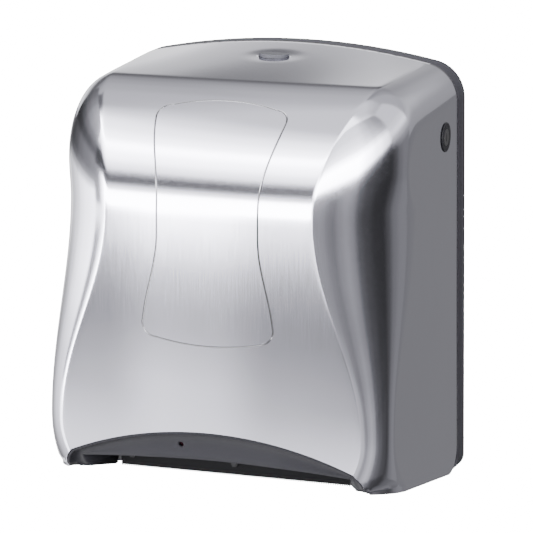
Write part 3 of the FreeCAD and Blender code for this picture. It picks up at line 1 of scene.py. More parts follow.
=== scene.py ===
import bpy
import bmesh
import math
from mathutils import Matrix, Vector


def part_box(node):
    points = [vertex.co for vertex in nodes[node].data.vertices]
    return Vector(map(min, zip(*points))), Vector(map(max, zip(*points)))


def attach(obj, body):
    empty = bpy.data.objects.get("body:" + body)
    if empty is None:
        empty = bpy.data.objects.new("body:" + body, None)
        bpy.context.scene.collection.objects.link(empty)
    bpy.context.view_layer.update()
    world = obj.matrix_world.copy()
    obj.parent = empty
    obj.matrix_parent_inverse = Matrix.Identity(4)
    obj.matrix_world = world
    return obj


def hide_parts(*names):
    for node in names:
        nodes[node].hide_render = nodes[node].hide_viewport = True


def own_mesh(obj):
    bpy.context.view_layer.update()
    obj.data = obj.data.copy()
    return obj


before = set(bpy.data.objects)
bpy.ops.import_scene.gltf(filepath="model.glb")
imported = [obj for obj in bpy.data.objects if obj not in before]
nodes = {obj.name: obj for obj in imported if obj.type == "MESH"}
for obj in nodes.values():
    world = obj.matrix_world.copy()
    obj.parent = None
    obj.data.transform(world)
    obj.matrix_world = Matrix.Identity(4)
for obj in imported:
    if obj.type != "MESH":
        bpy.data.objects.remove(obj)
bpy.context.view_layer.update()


# Cover skin: one deep-drawn sheet of stainless steel, 1.2 mm thick, brushed up and down.
# A bowed front runs over a rounded shoulder into the roof; two creases bound the front
# panel, and rounded corner columns join it to the flat sides.

WIDTH, HEIGHT, DEPTH = 302.0, 366.0, 230.7
WALL = 1.2
CROWN, BOW = 600.0, 1100.0
LEAN, DRAFT = 0.0115, 0.010
SHOULDER, SHOULDER_Z, ROOF_FRONT_Z = 100.0, 70.0, 168.5
BOTTOM_Z, BOTTOM_Y, SLOPE, LOBE_ROUND = -177.5, -44.0, 0.148, 5.0
RIM_Y, BACK_Y, HEEL = -21.0, -21.5, 21.0
AXIS_Y = -DEPTH + SHOULDER
WAIST, WAIST_Z, HIP, HIP_Z, HIP_CURL = 87.3, 72.0, 129.3, -108.0, 0.0095
NECK, NECK_PINCH, NECK_RUN, BACK_HALF = 116.0, 0.85, 0.25, 121.0
LEAD, BACK_LEAD, CREASE_SOFT = math.radians(22), math.radians(9), 2.4
SHOULDER_END = math.asin((ROOF_FRONT_Z - SHOULDER_Z) / SHOULDER)
ROOF_TURN = 1.6
ARCH_HALF, ARCH_END_Z, ARCH_TOP_Z, ARCH_FOOT, ARCH_FOOT_Z = 122.0, -133.5, -107.5, 131.0, -152.0
BEND_OUT, BEND_DOWN = 0.62, 0.38
LOBE_FLOOR_Y, FOOT_NEAR = -DEPTH + 56.0, 0.6
BUTTON_Y, BUTTON_Z, BUTTON_HOLE = -66.0, 175.0, (13.3, 8.8)
DISH_HALF, DISH_SINK = (29.0, 22.0), 1.0
LOCK_X, LOCK_Y, LOCK_Z, LOCK_HOLE = 150.0, -56.4, 115.1, 9.1
PIVOT_X, PIVOT_Y, PIVOT_Z, PIVOT_HOLE = 148.0, -43.8, -164.3, 8.3
ROOF_BORE, SIDE_BORE = 40.0, 30.0
FRONT_COLUMNS, CREASE_COLUMNS, CORNER_COLUMNS, SIDE_COLUMNS = 30, 4, 26, 10
FRONT_ROWS, LOBE_ROWS, SHOULDER_ROWS, ROOF_ROWS = 44, 14, 34, 30
FIRST_RADIUS, RADIUS_PASSES = 60.0, 8
FIRST_EDGE_Z, EDGE_PASSES = -140.0, 14


def side_half(y, z):
    """Half the cover's width at a place on its leaning side."""
    return WIDTH / 2 - LEAN * (z + HEIGHT / 2) - DRAFT * (RIM_Y - y)


def eased(share):
    """A smooth step from 0 to 1."""
    share = max(0.0, min(1.0, share))
    return (1 - math.cos(math.pi * share)) / 2


def panel_half(z):
    """Half-width of the front panel between its creases."""
    if z > HIP_Z:
        return WAIST + (HIP - WAIST) * eased((WAIST_Z - z) / (WAIST_Z - HIP_Z))
    return HIP - HIP_CURL * (z - HIP_Z) ** 2


def bottom_edge(y):
    """Height of the cover's bottom edge, with its rounded heel at the back."""
    if y > BOTTOM_Y:
        drop = math.sqrt(max(0.0, HEEL ** 2 - (y - BOTTOM_Y) ** 2))
        return BOTTOM_Z + HEEL - drop
    return BOTTOM_Z + SLOPE * (BOTTOM_Y - y)


def arch_edge(x):
    """Height of the arched cut-out's edge, which ends at its feet."""
    x = abs(x)
    rise = ARCH_TOP_Z - ARCH_END_Z
    radius = (ARCH_HALF ** 2 + rise ** 2) / (2 * rise)
    bend_x = ARCH_HALF + (ARCH_FOOT - ARCH_HALF) * BEND_OUT
    bend_z = ARCH_END_Z + (ARCH_FOOT_Z - ARCH_END_Z) * BEND_DOWN
    if x <= ARCH_HALF:
        return ARCH_TOP_Z - radius + math.sqrt(radius ** 2 - x * x)
    if x <= bend_x:
        return ARCH_END_Z + (bend_z - ARCH_END_Z) * (x - ARCH_HALF) / (bend_x - ARCH_HALF)
    if x <= ARCH_FOOT:
        return bend_z + (ARCH_FOOT_Z - bend_z) * (x - bend_x) / (ARCH_FOOT - bend_x)
    return -math.inf


LOBE_LOW_Z = bottom_edge(-DEPTH + LOBE_ROUND)
LOBE_TURN_Z = LOBE_LOW_Z + LOBE_ROUND * 1.01


def section(place, kind):
    """Centre line, direction, face depths, crease half-width and lead angle of a slice."""
    if kind == "front":
        drop = max(0.0, min(1.0, (LOBE_TURN_Z - place) / LOBE_ROUND))
        setback = LOBE_ROUND * (1 - math.sqrt(1 - drop * drop))
        return ((AXIS_Y, place), 0.0, lambda x: SHOULDER - x * x / (2 * BOW) - setback,
                panel_half(max(place, LOBE_LOW_Z)), LEAD)
    if kind == "shoulder":
        turn = place
        share = eased(turn / math.radians(90))
        return ((AXIS_Y, SHOULDER_Z), turn,
                lambda x: SHOULDER - x * x / (2 * BOW) * math.cos(turn),
                WAIST + (NECK - WAIST) * share, LEAD + (BACK_LEAD - LEAD) * 0.5 * share)
    turn = SHOULDER_END + (math.pi / 2 - SHOULDER_END) * eased(place * ROOF_TURN)
    centre_y = AXIS_Y + (BACK_Y - AXIS_Y) * place

    def roof_depth(x):
        bow = x * x / (2 * BOW)
        back_z = HEIGHT / 2 - x * x / (2 * CROWN)
        front_y = AXIS_Y + bow - SHOULDER * math.cos(SHOULDER_END)
        rise = (back_z - ROOF_FRONT_Z) / (front_y - RIM_Y)
        roof = ROOF_FRONT_Z - SHOULDER_Z + rise * (front_y - centre_y)
        roof /= math.sin(turn) - rise * math.cos(turn)
        if centre_y - roof * math.cos(turn) > front_y - 0.01:
            return roof
        shift = centre_y - AXIS_Y - bow
        return shift * math.cos(turn) + math.sqrt(SHOULDER ** 2 - (shift * math.sin(turn)) ** 2)

    early = 1 - min(1.0, place / NECK_RUN)
    half = NECK + (BACK_HALF - NECK) * place - NECK_PINCH * early
    share = 0.5 + 0.5 * place
    return (centre_y, SHOULDER_Z), turn, roof_depth, half, LEAD + (BACK_LEAD - LEAD) * share


def slice_points(place, kind):
    """Points of one slice, from its middle to the side plane and down to the centre line."""
    (centre_y, centre_z), turn, depth_at, half, lead = section(place, kind)

    def spot(x, r):
        y = centre_y - r * math.cos(turn)
        z = centre_z + r * math.sin(turn)
        return Vector((min(x, side_half(y, z)), y, z))

    reach = depth_at(half)
    radius = FIRST_RADIUS
    for _ in range(RADIUS_PASSES):
        touch = reach - radius * math.cos(lead)
        side = side_half(centre_y - touch * math.cos(turn), centre_z + touch * math.sin(turn))
        radius = (side - half) / (1 - math.sin(lead))
    mid_x, mid_r = half - radius * math.sin(lead), reach - radius * math.cos(lead)
    start_x = half - CREASE_SOFT
    points = [spot(x, depth_at(x)) for x in
              [start_x * k / FRONT_COLUMNS for k in range(FRONT_COLUMNS + 1)]]
    start_r = depth_at(start_x)
    first = lead + CREASE_SOFT / radius
    end_x, end_r = mid_x + radius * math.sin(first), mid_r + radius * math.cos(first)
    for k in range(1, CREASE_COLUMNS):
        t = k / CREASE_COLUMNS
        a, b, c = (1 - t) ** 2, 2 * t * (1 - t), t * t
        points.append(spot(a * start_x + b * half + c * end_x,
                           a * start_r + b * reach + c * end_r))
    for k in range(CORNER_COLUMNS + 1):
        angle = first + (math.pi / 2 - first) * k / CORNER_COLUMNS
        points.append(spot(mid_x + radius * math.sin(angle), mid_r + radius * math.cos(angle)))
    for k in range(1, SIDE_COLUMNS + 1):
        points.append(spot(WIDTH, mid_r * (1 - k / SIDE_COLUMNS)))
    return points


def front_point(column, z):
    """The point of one column at height z on the front, corner or side."""
    return slice_points(z, "front")[column]


COLUMNS = FRONT_COLUMNS + CREASE_COLUMNS + CORNER_COLUMNS + SIDE_COLUMNS
lowest = []
for column in range(COLUMNS + 1):
    z = FIRST_EDGE_Z
    for _ in range(EDGE_PASSES):
        point = front_point(column, z)
        z = (z + max(arch_edge(point.x), bottom_edge(point.y))) / 2
    lowest.append(z)

LOBE_SHARE = (SHOULDER_Z - LOBE_TURN_Z) / (SHOULDER_Z - LOBE_LOW_Z)
row_shares = [LOBE_SHARE * k / FRONT_ROWS for k in range(FRONT_ROWS)]
row_shares += [LOBE_SHARE + (1 - LOBE_SHARE) * math.sin(math.pi / 2 * k / LOBE_ROWS)
               for k in range(LOBE_ROWS + 1)]
half_grid = []
for share in reversed(row_shares):
    row = []
    for column in range(COLUMNS + 1):
        row.append(front_point(column, SHOULDER_Z - (SHOULDER_Z - lowest[column]) * share))
    for k in range(1, ROOF_ROWS + 1):
        y = AXIS_Y + (BACK_Y - AXIS_Y) * k / ROOF_ROWS
        low = bottom_edge(min(y, BOTTOM_Y + HEEL))
        z = SHOULDER_Z - (SHOULDER_Z - low) * share
        row.append(Vector((side_half(y, z), y, z)))
    half_grid.append(row)
for k in range(1, SHOULDER_ROWS + 1):
    half_grid.append(slice_points(SHOULDER_END * k / SHOULDER_ROWS, "shoulder"))
for k in range(1, ROOF_ROWS + 1):
    half_grid.append(slice_points(k / ROOF_ROWS, "roof"))


def dished(point):
    """The roof sinks in a shallow dish round the button."""
    away = math.hypot(point.x / DISH_HALF[0], (point.y - BUTTON_Y) / DISH_HALF[1])
    if point.z > SHOULDER_Z and away < 1:
        return point - Vector((0, 0, DISH_SINK * (1 - away * away) ** 2))
    return point


def add_object(name, data):
    """A new object in the scene, from its mesh or other data."""
    thing = bpy.data.objects.new(name, data)
    bpy.context.scene.collection.objects.link(thing)
    return thing


def new_piece(name, points, faces, smooth=True):
    """A mesh object from points in millimetres."""
    mesh = bpy.data.meshes.new(name)
    mesh.from_pydata([Vector(point) / 1000 for point in points], [], faces)
    mesh.validate()
    for polygon in mesh.polygons:
        polygon.use_smooth = smooth
    return add_object(name, mesh)


def settle(piece):
    """The piece keeps the result of its modifiers as its own mesh."""
    graph = bpy.context.evaluated_depsgraph_get()
    mesh = bpy.data.meshes.new_from_object(piece.evaluated_get(graph))
    piece.modifiers.clear()
    piece.data = mesh


skin_points, skin_faces, skin_index = [], [], {}


def skin_vertex(point):
    """The index of a point of the skin, the same for points that meet."""
    key = tuple(round(value, 3) for value in point)
    if key not in skin_index:
        skin_index[key] = len(skin_points)
        skin_points.append(point)
    return skin_index[key]


def skin_face(corners, flip):
    """A face of the skin, left out where its corners fall together."""
    ring = []
    for corner in corners:
        index = skin_vertex(corner)
        if index not in ring:
            ring.append(index)
    if len(ring) > 2:
        skin_faces.append(ring[::-1] if flip else ring)


for side in (1, -1):
    turned_grid = [[dished(Vector((side * p.x, p.y, p.z))) for p in row] for row in half_grid]
    for low, high in zip(turned_grid, turned_grid[1:]):
        width = min(len(low), len(high))
        for k in range(width - 1):
            skin_face((low[k], low[k + 1], high[k + 1], high[k]), side < 0)
    edge_row = turned_grid[0]
    for point, after in zip(edge_row[:COLUMNS + 1], edge_row[1:]):
        if abs(point.x) >= ARCH_FOOT - FOOT_NEAR and after.y <= LOBE_FLOOR_Y:
            inner = Vector((side * ARCH_FOOT, point.y, bottom_edge(point.y)))
            inner_after = Vector((side * ARCH_FOOT, after.y, bottom_edge(after.y)))
            if abs(point.x) < ARCH_FOOT + FOOT_NEAR:
                inner = point
            skin_face((point, inner, inner_after, after), side < 0)

cover_skin = new_piece("cover_skin", skin_points, skin_faces)
plates = bmesh.new()
plates.from_mesh(cover_skin.data)
bmesh.ops.recalc_face_normals(plates, faces=plates.faces)
inside = Vector((0, -0.05, 0))
outward = sum(face.normal.dot(face.calc_center_median() - inside) * face.calc_area()
              for face in plates.faces)
if outward < 0:
    bmesh.ops.reverse_faces(plates, faces=plates.faces)
plates.to_mesh(cover_skin.data)
plates.free()
sheet = cover_skin.modifiers.new("sheet", "SOLIDIFY")
sheet.thickness = WALL / 1000
sheet.offset = -1.0
settle(cover_skin)


def drill(piece, axis, centre, radii, length, corners=48):
    """Cuts a round or oval hole through a piece; sizes in millimetres."""
    shape = bmesh.new()
    bmesh.ops.create_cone(shape, cap_ends=True, segments=corners, radius1=1, radius2=1, depth=1)
    for vertex in shape.verts:
        across, up, along = vertex.co.x * radii[0], vertex.co.y * radii[1], vertex.co.z * length
        spot = {"x": (along, up, across), "y": (across, along, up), "z": (across, up, along)}
        vertex.co = (Vector(spot[axis]) + Vector(centre)) / 1000
    bmesh.ops.recalc_face_normals(shape, faces=shape.faces)
    cutter = add_object("cutter", bpy.data.meshes.new("cutter"))
    shape.to_mesh(cutter.data)
    shape.free()
    hole = piece.modifiers.new("hole", "BOOLEAN")
    hole.operation = "DIFFERENCE"
    hole.solver = "EXACT"
    hole.object = cutter
    settle(piece)
    bpy.data.objects.remove(cutter)


drill(cover_skin, "z", (0, BUTTON_Y, BUTTON_Z), BUTTON_HOLE, ROOF_BORE)
drill(cover_skin, "x", (LOCK_X, LOCK_Y, LOCK_Z), (LOCK_HOLE, LOCK_HOLE), SIDE_BORE)
for pivot_x in (PIVOT_X, -PIVOT_X):
    drill(cover_skin, "x", (pivot_x, PIVOT_Y, PIVOT_Z), (PIVOT_HOLE, PIVOT_HOLE), SIDE_BORE)


def new_material(name):
    """A material, its node tree and its Principled BSDF."""
    material = bpy.data.materials.new(name)
    material.use_nodes = True
    tree = material.node_tree
    return material, tree, tree.nodes["Principled BSDF"]


def group_tree(name, inputs, outputs):
    """An empty shader node group with named sockets."""
    tree = bpy.data.node_groups.new(name, "ShaderNodeTree")
    for label, kind, value in inputs:
        socket = tree.interface.new_socket(label, in_out="INPUT", socket_type=kind)
        if value is not None:
            socket.default_value = value
    for label, kind in outputs:
        tree.interface.new_socket(label, in_out="OUTPUT", socket_type=kind)
    return tree, tree.nodes.new("NodeGroupInput"), tree.nodes.new("NodeGroupOutput")


def feed(tree, socket, value):
    """Joins a socket to another one, or sets it to a plain value."""
    if isinstance(value, bpy.types.NodeSocket):
        tree.links.new(value, socket)
    else:
        socket.default_value = value


def link_math(tree, operation, *values, kind="ShaderNodeMath"):
    """A math node fed by sockets or plain numbers."""
    node = tree.nodes.new(kind)
    node.operation = operation
    for socket, value in zip(node.inputs, values):
        feed(tree, socket, value)
    return node.outputs[0]


def noise(tree, place, scale, detail=2.0, roughness=0.5):
    """The value of a noise texture at a place."""
    node = tree.nodes.new("ShaderNodeTexNoise")
    feed(tree, node.inputs["Vector"], place)
    feed(tree, node.inputs["Scale"], scale)
    feed(tree, node.inputs["Detail"], detail)
    feed(tree, node.inputs["Roughness"], roughness)
    return node.outputs["Fac"]


def around_one(tree, value, swing):
    """A factor that a noise value swings evenly round 1."""
    return link_math(tree, "MULTIPLY_ADD", value, swing, 1 - swing / 2)


def tinted(tree, tone, factor):
    """A colour made darker or lighter by a factor."""
    node = tree.nodes.new("ShaderNodeVectorMath")
    node.operation = "SCALE"
    feed(tree, node.inputs[0], tone)
    feed(tree, node.inputs["Scale"], factor)
    return node.outputs[0]


BRUSH_CLOUD_SCALE, BRUSH_CLOUD, BRUSH_ROUGHENS, BRUSH_DEPTH = 9.0, 0.06, 0.16, 0.00005


def brushed_effect():
    """Fine brush lines along one direction, with slow changes of tone between them."""
    tree, given, put = group_tree("brush_lines", [
        ("Tone", "NodeSocketColor", (0.6, 0.6, 0.6, 1)),
        ("Across", "NodeSocketVector", (900, 900, 14)),
        ("Strength", "NodeSocketFloat", 0.08),
        ("Roughness", "NodeSocketFloat", 0.3),
        ("Tilt", "NodeSocketFloat", 0.0)], [
        ("Color", "NodeSocketColor"), ("Roughness", "NodeSocketFloat"),
        ("Height", "NodeSocketFloat"), ("Normal", "NodeSocketVector")])
    vector_math = "ShaderNodeVectorMath"
    place = tree.nodes.new("ShaderNodeTexCoord").outputs["Object"]
    stretched = link_math(tree, "MULTIPLY", place, given.outputs["Across"], kind=vector_math)
    lines = noise(tree, stretched, 1.0, 6.0, 0.7)
    swing = link_math(tree, "SUBTRACT", lines, 0.5)
    streak = link_math(tree, "MULTIPLY", swing, given.outputs["Strength"])
    cloud = around_one(tree, noise(tree, place, BRUSH_CLOUD_SCALE), BRUSH_CLOUD)
    upward = tree.nodes.new("ShaderNodeCombineXYZ")
    feed(tree, upward.inputs["Z"], link_math(tree, "MULTIPLY", swing, given.outputs["Tilt"]))
    surface = tree.nodes.new("ShaderNodeNewGeometry").outputs["Normal"]
    leaning = link_math(tree, "ADD", surface, upward.outputs[0], kind=vector_math)
    feed(tree, put.inputs["Color"],
         tinted(tree, given.outputs["Tone"], link_math(tree, "ADD", cloud, streak)))
    feed(tree, put.inputs["Roughness"],
         link_math(tree, "MULTIPLY_ADD", swing, BRUSH_ROUGHENS, given.outputs["Roughness"]))
    feed(tree, put.inputs["Height"], lines)
    feed(tree, put.inputs["Normal"], link_math(tree, "NORMALIZE", leaning, kind=vector_math))
    return tree


brush_lines = brushed_effect()


def effect_material(name, effect_tree, values, relief, depth):
    """A material that takes its colour, roughness and relief from an effect group."""
    material, tree, shader = new_material(name)
    effect = tree.nodes.new("ShaderNodeGroup")
    effect.node_tree = effect_tree
    for label, value in values.items():
        feed(tree, effect.inputs[label], value)
    bump = tree.nodes.new("ShaderNodeBump")
    feed(tree, bump.inputs["Strength"], relief)
    feed(tree, bump.inputs["Distance"], depth)
    feed(tree, bump.inputs["Height"], effect.outputs["Height"])
    if "Normal" in effect.outputs:
        feed(tree, bump.inputs["Normal"], effect.outputs["Normal"])
    feed(tree, shader.inputs["Base Color"], effect.outputs["Color"])
    feed(tree, shader.inputs["Roughness"], effect.outputs["Roughness"])
    feed(tree, shader.inputs["Normal"], bump.outputs["Normal"])
    return material, shader


def brushed_metal(name, tone, across, strength, roughness, relief, tilt=0.0):
    """Brushed metal: the brush lines tint it, roughen it and raise a faint relief."""
    material, shader = effect_material(name, brush_lines, {
        "Tone": (*tone, 1), "Across": across, "Strength": strength, "Roughness": roughness,
        "Tilt": tilt}, relief, BRUSH_DEPTH)
    shader.inputs["Metallic"].default_value = 1.0
    return material


def paint(piece, material):
    """Gives a whole piece one material."""
    piece.data.materials.clear()
    piece.data.materials.append(material)


steel = brushed_metal("brushed_stainless", (0.605, 0.6, 0.685), (1700, 1700, 35), 0.12, 0.12,
                      0.2, 0.03)
paint(cover_skin, steel)
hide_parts("cover_shell")
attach(cover_skin, "cover")


# Pressed line: a fine bead stamped into the skin that outlines a tall waisted field, arched
# above and below, from the middle of the shoulder down the front panel.

FIELD_TOP, FIELD_TOP_HALF, FIELD_WAIST_HALF = 98.0, 56.0, 43.0
FIELD_LOW, FIELD_LOW_HALF, FIELD_TURN, FIELD_ARCH = -98.0, 56.0, 12.0, 7.5
FIELD_WAIST_HIGH, FIELD_WAIST_LOW = 8.0, -14.0
END_STEPS, TURN_STEPS, EDGE_STEPS = 24, 8, 48
LINE_PROFILE = [(-0.75, 0.0), (-0.6, 0.27), (0.0, 0.03), (0.6, 0.27), (0.75, 0.0)]
LINE_THICK = 0.4


def over_shoulder(x, along, lift):
    """A place on the skin, by its half-width and its way up over the shoulder's start."""
    turn = max(0.0, along) / SHOULDER
    reach = SHOULDER - x * x / (2 * BOW) * math.cos(turn) + lift
    return Vector((x, AXIS_Y - reach * math.cos(turn),
                   SHOULDER_Z + min(0.0, along) + reach * math.sin(turn)))


def field_half(along):
    """Half-width of the outlined field: widest at both ends, waisted where the shoulder starts."""
    if along > FIELD_WAIST_HIGH:
        return FIELD_WAIST_HALF + (FIELD_TOP_HALF - FIELD_WAIST_HALF) * eased(
            (along - FIELD_WAIST_HIGH) / (FIELD_TOP - FIELD_WAIST_HIGH))
    return FIELD_WAIST_HALF + (FIELD_LOW_HALF - FIELD_WAIST_HALF) * eased(
        (along - FIELD_WAIST_LOW) / (FIELD_LOW - FIELD_WAIST_LOW))


outline = []
for k in range(END_STEPS + 1):
    x = (FIELD_LOW_HALF - FIELD_TURN) * k / END_STEPS
    outline.append((x, FIELD_LOW - FIELD_ARCH * (1 - (x / FIELD_LOW_HALF) ** 2)))
low_x, low_s = outline[-1]
for k in range(1, TURN_STEPS + 1):
    turn = math.radians(90) * k / TURN_STEPS
    outline.append((low_x + FIELD_TURN * math.sin(turn), low_s + FIELD_TURN * (1 - math.cos(turn))))
side_start, side_end = outline[-1][1], FIELD_TOP - FIELD_TURN
for k in range(1, EDGE_STEPS + 1):
    along = side_start + (side_end - side_start) * k / EDGE_STEPS
    outline.append((field_half(along), along))
high_x = field_half(side_end) - FIELD_TURN
for k in range(1, TURN_STEPS + 1):
    turn = math.radians(90) * k / TURN_STEPS
    outline.append((high_x + FIELD_TURN * math.cos(turn), side_end + FIELD_TURN * math.sin(turn)))
for k in range(1, END_STEPS + 1):
    x = high_x * (1 - k / END_STEPS)
    outline.append((x, FIELD_TOP + FIELD_ARCH * (1 - (x / high_x) ** 2)))
ring = outline + [(-x, along) for x, along in outline[-2:0:-1]]
line_points, line_faces = [], []
for k, (x, along) in enumerate(ring):
    before, after = ring[k - 1], ring[(k + 1) % len(ring)]
    run = math.hypot(after[0] - before[0], after[1] - before[1])
    across_x, across_s = (after[1] - before[1]) / run, (before[0] - after[0]) / run
    for step, lift in LINE_PROFILE:
        line_points.append(over_shoulder(x + step * across_x, along + step * across_s, lift))
row_length = len(LINE_PROFILE)
for k in range(len(ring)):
    for step in range(row_length - 1):
        a = row_length * k + step
        b = row_length * ((k + 1) % len(ring)) + step
        line_faces.append((a, b, b + 1, a + 1))
pressed_line = new_piece("pressed_line", line_points, line_faces, False)
bead = pressed_line.modifiers.new("bead", "SOLIDIFY")
bead.thickness = LINE_THICK / 1000
bead.offset = -1.0 if pressed_line.data.polygons[0].normal.y < 0 else 1.0
settle(pressed_line)
# The line's steel gets a dark tone: painted shade for the shade that lies inside the pressed
# groove.
line_painted_shade = brushed_metal("pressed_line_painted_shade", (0.13, 0.129, 0.14), (1400, 1400, 30), 0.1, 0.16,
                           0.1)
paint(pressed_line, line_painted_shade)
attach(pressed_line, "cover")


# Outlet trim: a dark moulded cove that lines the arch. Its concave wall runs from the
# steel's edge back to the paper slot, and turns down at both ends into the lobes.

TRIM_WALL, LIP_GAP, LEAST_DEPTH, FOOT_DROP, FLOOR_GAP = 2.4, 0.35, 14.0, 26.0, 0.3
SLOT_HALF, SLOT_END_Z, SLOT_TOP_Z = 117.0, -139.5, -133.0
COVE_DEPTH, COVE_BACK_Y, LEAST_TAIL, NOSE_HALF = 17.0, -168.0, 3.0, 104.0
ARCH_STEPS, FOOT_STEPS, COVE_STEPS = 56, 10, 14
EYE_X, EYE_Y, EYE_Z = -27.2, -DEPTH + 9.5, -122.4
EYE_RADIUS, EYE_BORE, EYE_CORNERS = 2.2, 25.0, 24


def arch_line(flatten):
    """Right half of the cove's outline: the arch, its bend, and its foot down to the lobe."""
    half = ARCH_HALF + flatten * (SLOT_HALF - ARCH_HALF)
    end_z = ARCH_END_Z + flatten * (SLOT_END_Z - ARCH_END_Z)
    top_z = ARCH_TOP_Z + flatten * (SLOT_TOP_Z - ARCH_TOP_Z)
    foot = ARCH_FOOT + flatten * (SLOT_HALF - ARCH_FOOT)
    rise = top_z - end_z
    radius = (half ** 2 + rise ** 2) / (2 * rise)
    line = []
    for k in range(ARCH_STEPS + 1):
        x = half * k / ARCH_STEPS
        line.append((x, top_z - radius + math.sqrt(radius ** 2 - x * x)))
    bend = (half + (foot - half) * BEND_OUT, end_z + (ARCH_FOOT_Z - end_z) * BEND_DOWN)
    last = (foot, ARCH_FOOT_Z)
    line += [((line[-1][0] + bend[0]) / 2, (line[-1][1] + bend[1]) / 2), bend,
             ((bend[0] + last[0]) / 2, (bend[1] + last[1]) / 2), last]
    for k in range(1, FOOT_STEPS + 1):
        line.append((foot, ARCH_FOOT_Z - FOOT_DROP * k / FOOT_STEPS))
    return line


def skin_y(x, z):
    """Depth of the cover's outside at a place on its front or corner."""
    points = slice_points(max(z, LOBE_LOW_Z + 0.2), "front")
    for near, far in zip(points, points[1:]):
        if near.x <= x <= far.x:
            return near.y + (far.y - near.y) * (x - near.x) / max(far.x - near.x, 1e-6)
    return AXIS_Y


edge_line, slot_line = arch_line(0.0), arch_line(1.0)
cove_rows = []
for (edge_x, edge_z), (slot_x, slot_z) in zip(edge_line, slot_line):
    start_y = skin_y(edge_x, edge_z) + WALL + LIP_GAP
    stop_y = max(-DEPTH + COVE_DEPTH, start_y + LEAST_DEPTH)
    column = []
    for k in range(COVE_STEPS + 1):
        turn = math.radians(90) * k / COVE_STEPS
        y = start_y + (stop_y - start_y) * math.sin(turn)
        share = 1 - math.cos(turn)
        column.append(Vector((edge_x + (slot_x - edge_x) * share, y,
                              edge_z + (slot_z - edge_z) * share)))
    tail_x = slot_x * NOSE_HALF / SLOT_HALF
    column.append(Vector((tail_x, max(COVE_BACK_Y, stop_y + LEAST_TAIL), slot_z)))
    column = [Vector((p.x, p.y, max(p.z, bottom_edge(p.y) + FLOOR_GAP))) for p in column]
    cove_rows.append(column)

full_rows = [[Vector((-p.x, p.y, p.z)) for p in column] for column in cove_rows[:0:-1]]
full_rows += cove_rows
trim_points = [point for column in full_rows for point in column]
trim_faces = []
depth_count = len(full_rows[0])
for k in range(len(full_rows) - 1):
    for j in range(depth_count - 1):
        a = k * depth_count + j
        trim_faces.append((a, a + 1, a + depth_count + 1, a + depth_count))
outlet_cove = new_piece("outlet_cove", trim_points, trim_faces)
wall = outlet_cove.modifiers.new("wall", "SOLIDIFY")
wall.thickness = TRIM_WALL / 1000
wall.offset = 1.0
settle(outlet_cove)
drill(outlet_cove, "y", (EYE_X, EYE_Y, EYE_Z), (EYE_RADIUS, EYE_RADIUS), EYE_BORE, EYE_CORNERS)

GRAIN_CLOUD_SCALE, GRAIN_CLOUD, GRAIN_SPECK = 14.0, 0.2, 0.22
GRAIN_ROUGHENS, GRAIN_DEPTH = 0.12, 0.00008


def grain_effect():
    """Fine moulded grain with slow changes of tone."""
    tree, given, put = group_tree("moulded_grain", [
        ("Tone", "NodeSocketColor", (0.1, 0.1, 0.1, 1)),
        ("Scale", "NodeSocketFloat", 2500.0),
        ("Roughness", "NodeSocketFloat", 0.5)], [
        ("Color", "NodeSocketColor"), ("Roughness", "NodeSocketFloat"),
        ("Height", "NodeSocketFloat")])
    place = tree.nodes.new("ShaderNodeTexCoord").outputs["Object"]
    grain = noise(tree, place, given.outputs["Scale"], 3.0)
    cloud = around_one(tree, noise(tree, place, GRAIN_CLOUD_SCALE), GRAIN_CLOUD)
    speck = around_one(tree, grain, GRAIN_SPECK)
    feed(tree, put.inputs["Color"],
         tinted(tree, given.outputs["Tone"], link_math(tree, "MULTIPLY", cloud, speck)))
    feed(tree, put.inputs["Roughness"],
         link_math(tree, "MULTIPLY_ADD", grain, GRAIN_ROUGHENS, given.outputs["Roughness"]))
    feed(tree, put.inputs["Height"], grain)
    return tree


moulded_grain = grain_effect()


def moulded_plastic(name, tone, roughness, scale=2500.0, relief=0.2, sheen=0.25):
    """Moulded plastic or painted stock with a fine grain."""
    material, shader = effect_material(name, moulded_grain, {
        "Tone": (*tone, 1), "Scale": scale, "Roughness": roughness}, relief, GRAIN_DEPTH)
    shader.inputs["Specular IOR Level"].default_value = sheen
    return material


trim_plastic = moulded_plastic("trim_charcoal", (0.0095, 0.0093, 0.0125), 0.5, sheen=0.15)
paint(outlet_cove, trim_plastic)
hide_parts("outlet_trim")
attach(outlet_cove, "cover")


# Latch button: an oval moulded push that stands a little out of the roof. Under the steel
# its stem runs in a guide box, through a bowed leaf spring that flattens as it is pressed.

LEAF_REACH, LEAF_CREST, LEAF_THICK, LEAF_STEPS = 14.0, 4.0, 0.6, 28
LEAF_HOLE, LEAF_BORE, BUTTON_TRAVEL = 3.5, 30.0, 3.0
leaf_low, leaf_high = [Vector(corner) * 1000 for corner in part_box("latch_spring")]
leaf_rise = leaf_high.z - leaf_low.z - LEAF_THICK
leaf_points = []
for k in range(LEAF_STEPS + 1):
    x = LEAF_REACH * (2 * k / LEAF_STEPS - 1)
    z = leaf_low.z + LEAF_THICK + leaf_rise * eased(
        (LEAF_REACH - abs(x)) / (LEAF_REACH - LEAF_CREST))
    leaf_points += [Vector((x, leaf_low.y, z)), Vector((x, leaf_high.y, z))]
leaf_faces = [(k, k + 2, k + 3, k + 1) for k in range(0, 2 * LEAF_STEPS, 2)]
bowed_leaf = new_piece("bowed_leaf", leaf_points, leaf_faces)
strip = bowed_leaf.modifiers.new("strip", "SOLIDIFY")
strip.thickness = LEAF_THICK / 1000
strip.offset = -1.0
settle(bowed_leaf)
drill(bowed_leaf, "z", (0, BUTTON_Y, leaf_high.z), (LEAF_HOLE, LEAF_HOLE), LEAF_BORE)


def paint_nodes(material, *names):
    """Gives nodes that come from the CAD one material."""
    for name in names:
        paint(nodes[name], material)


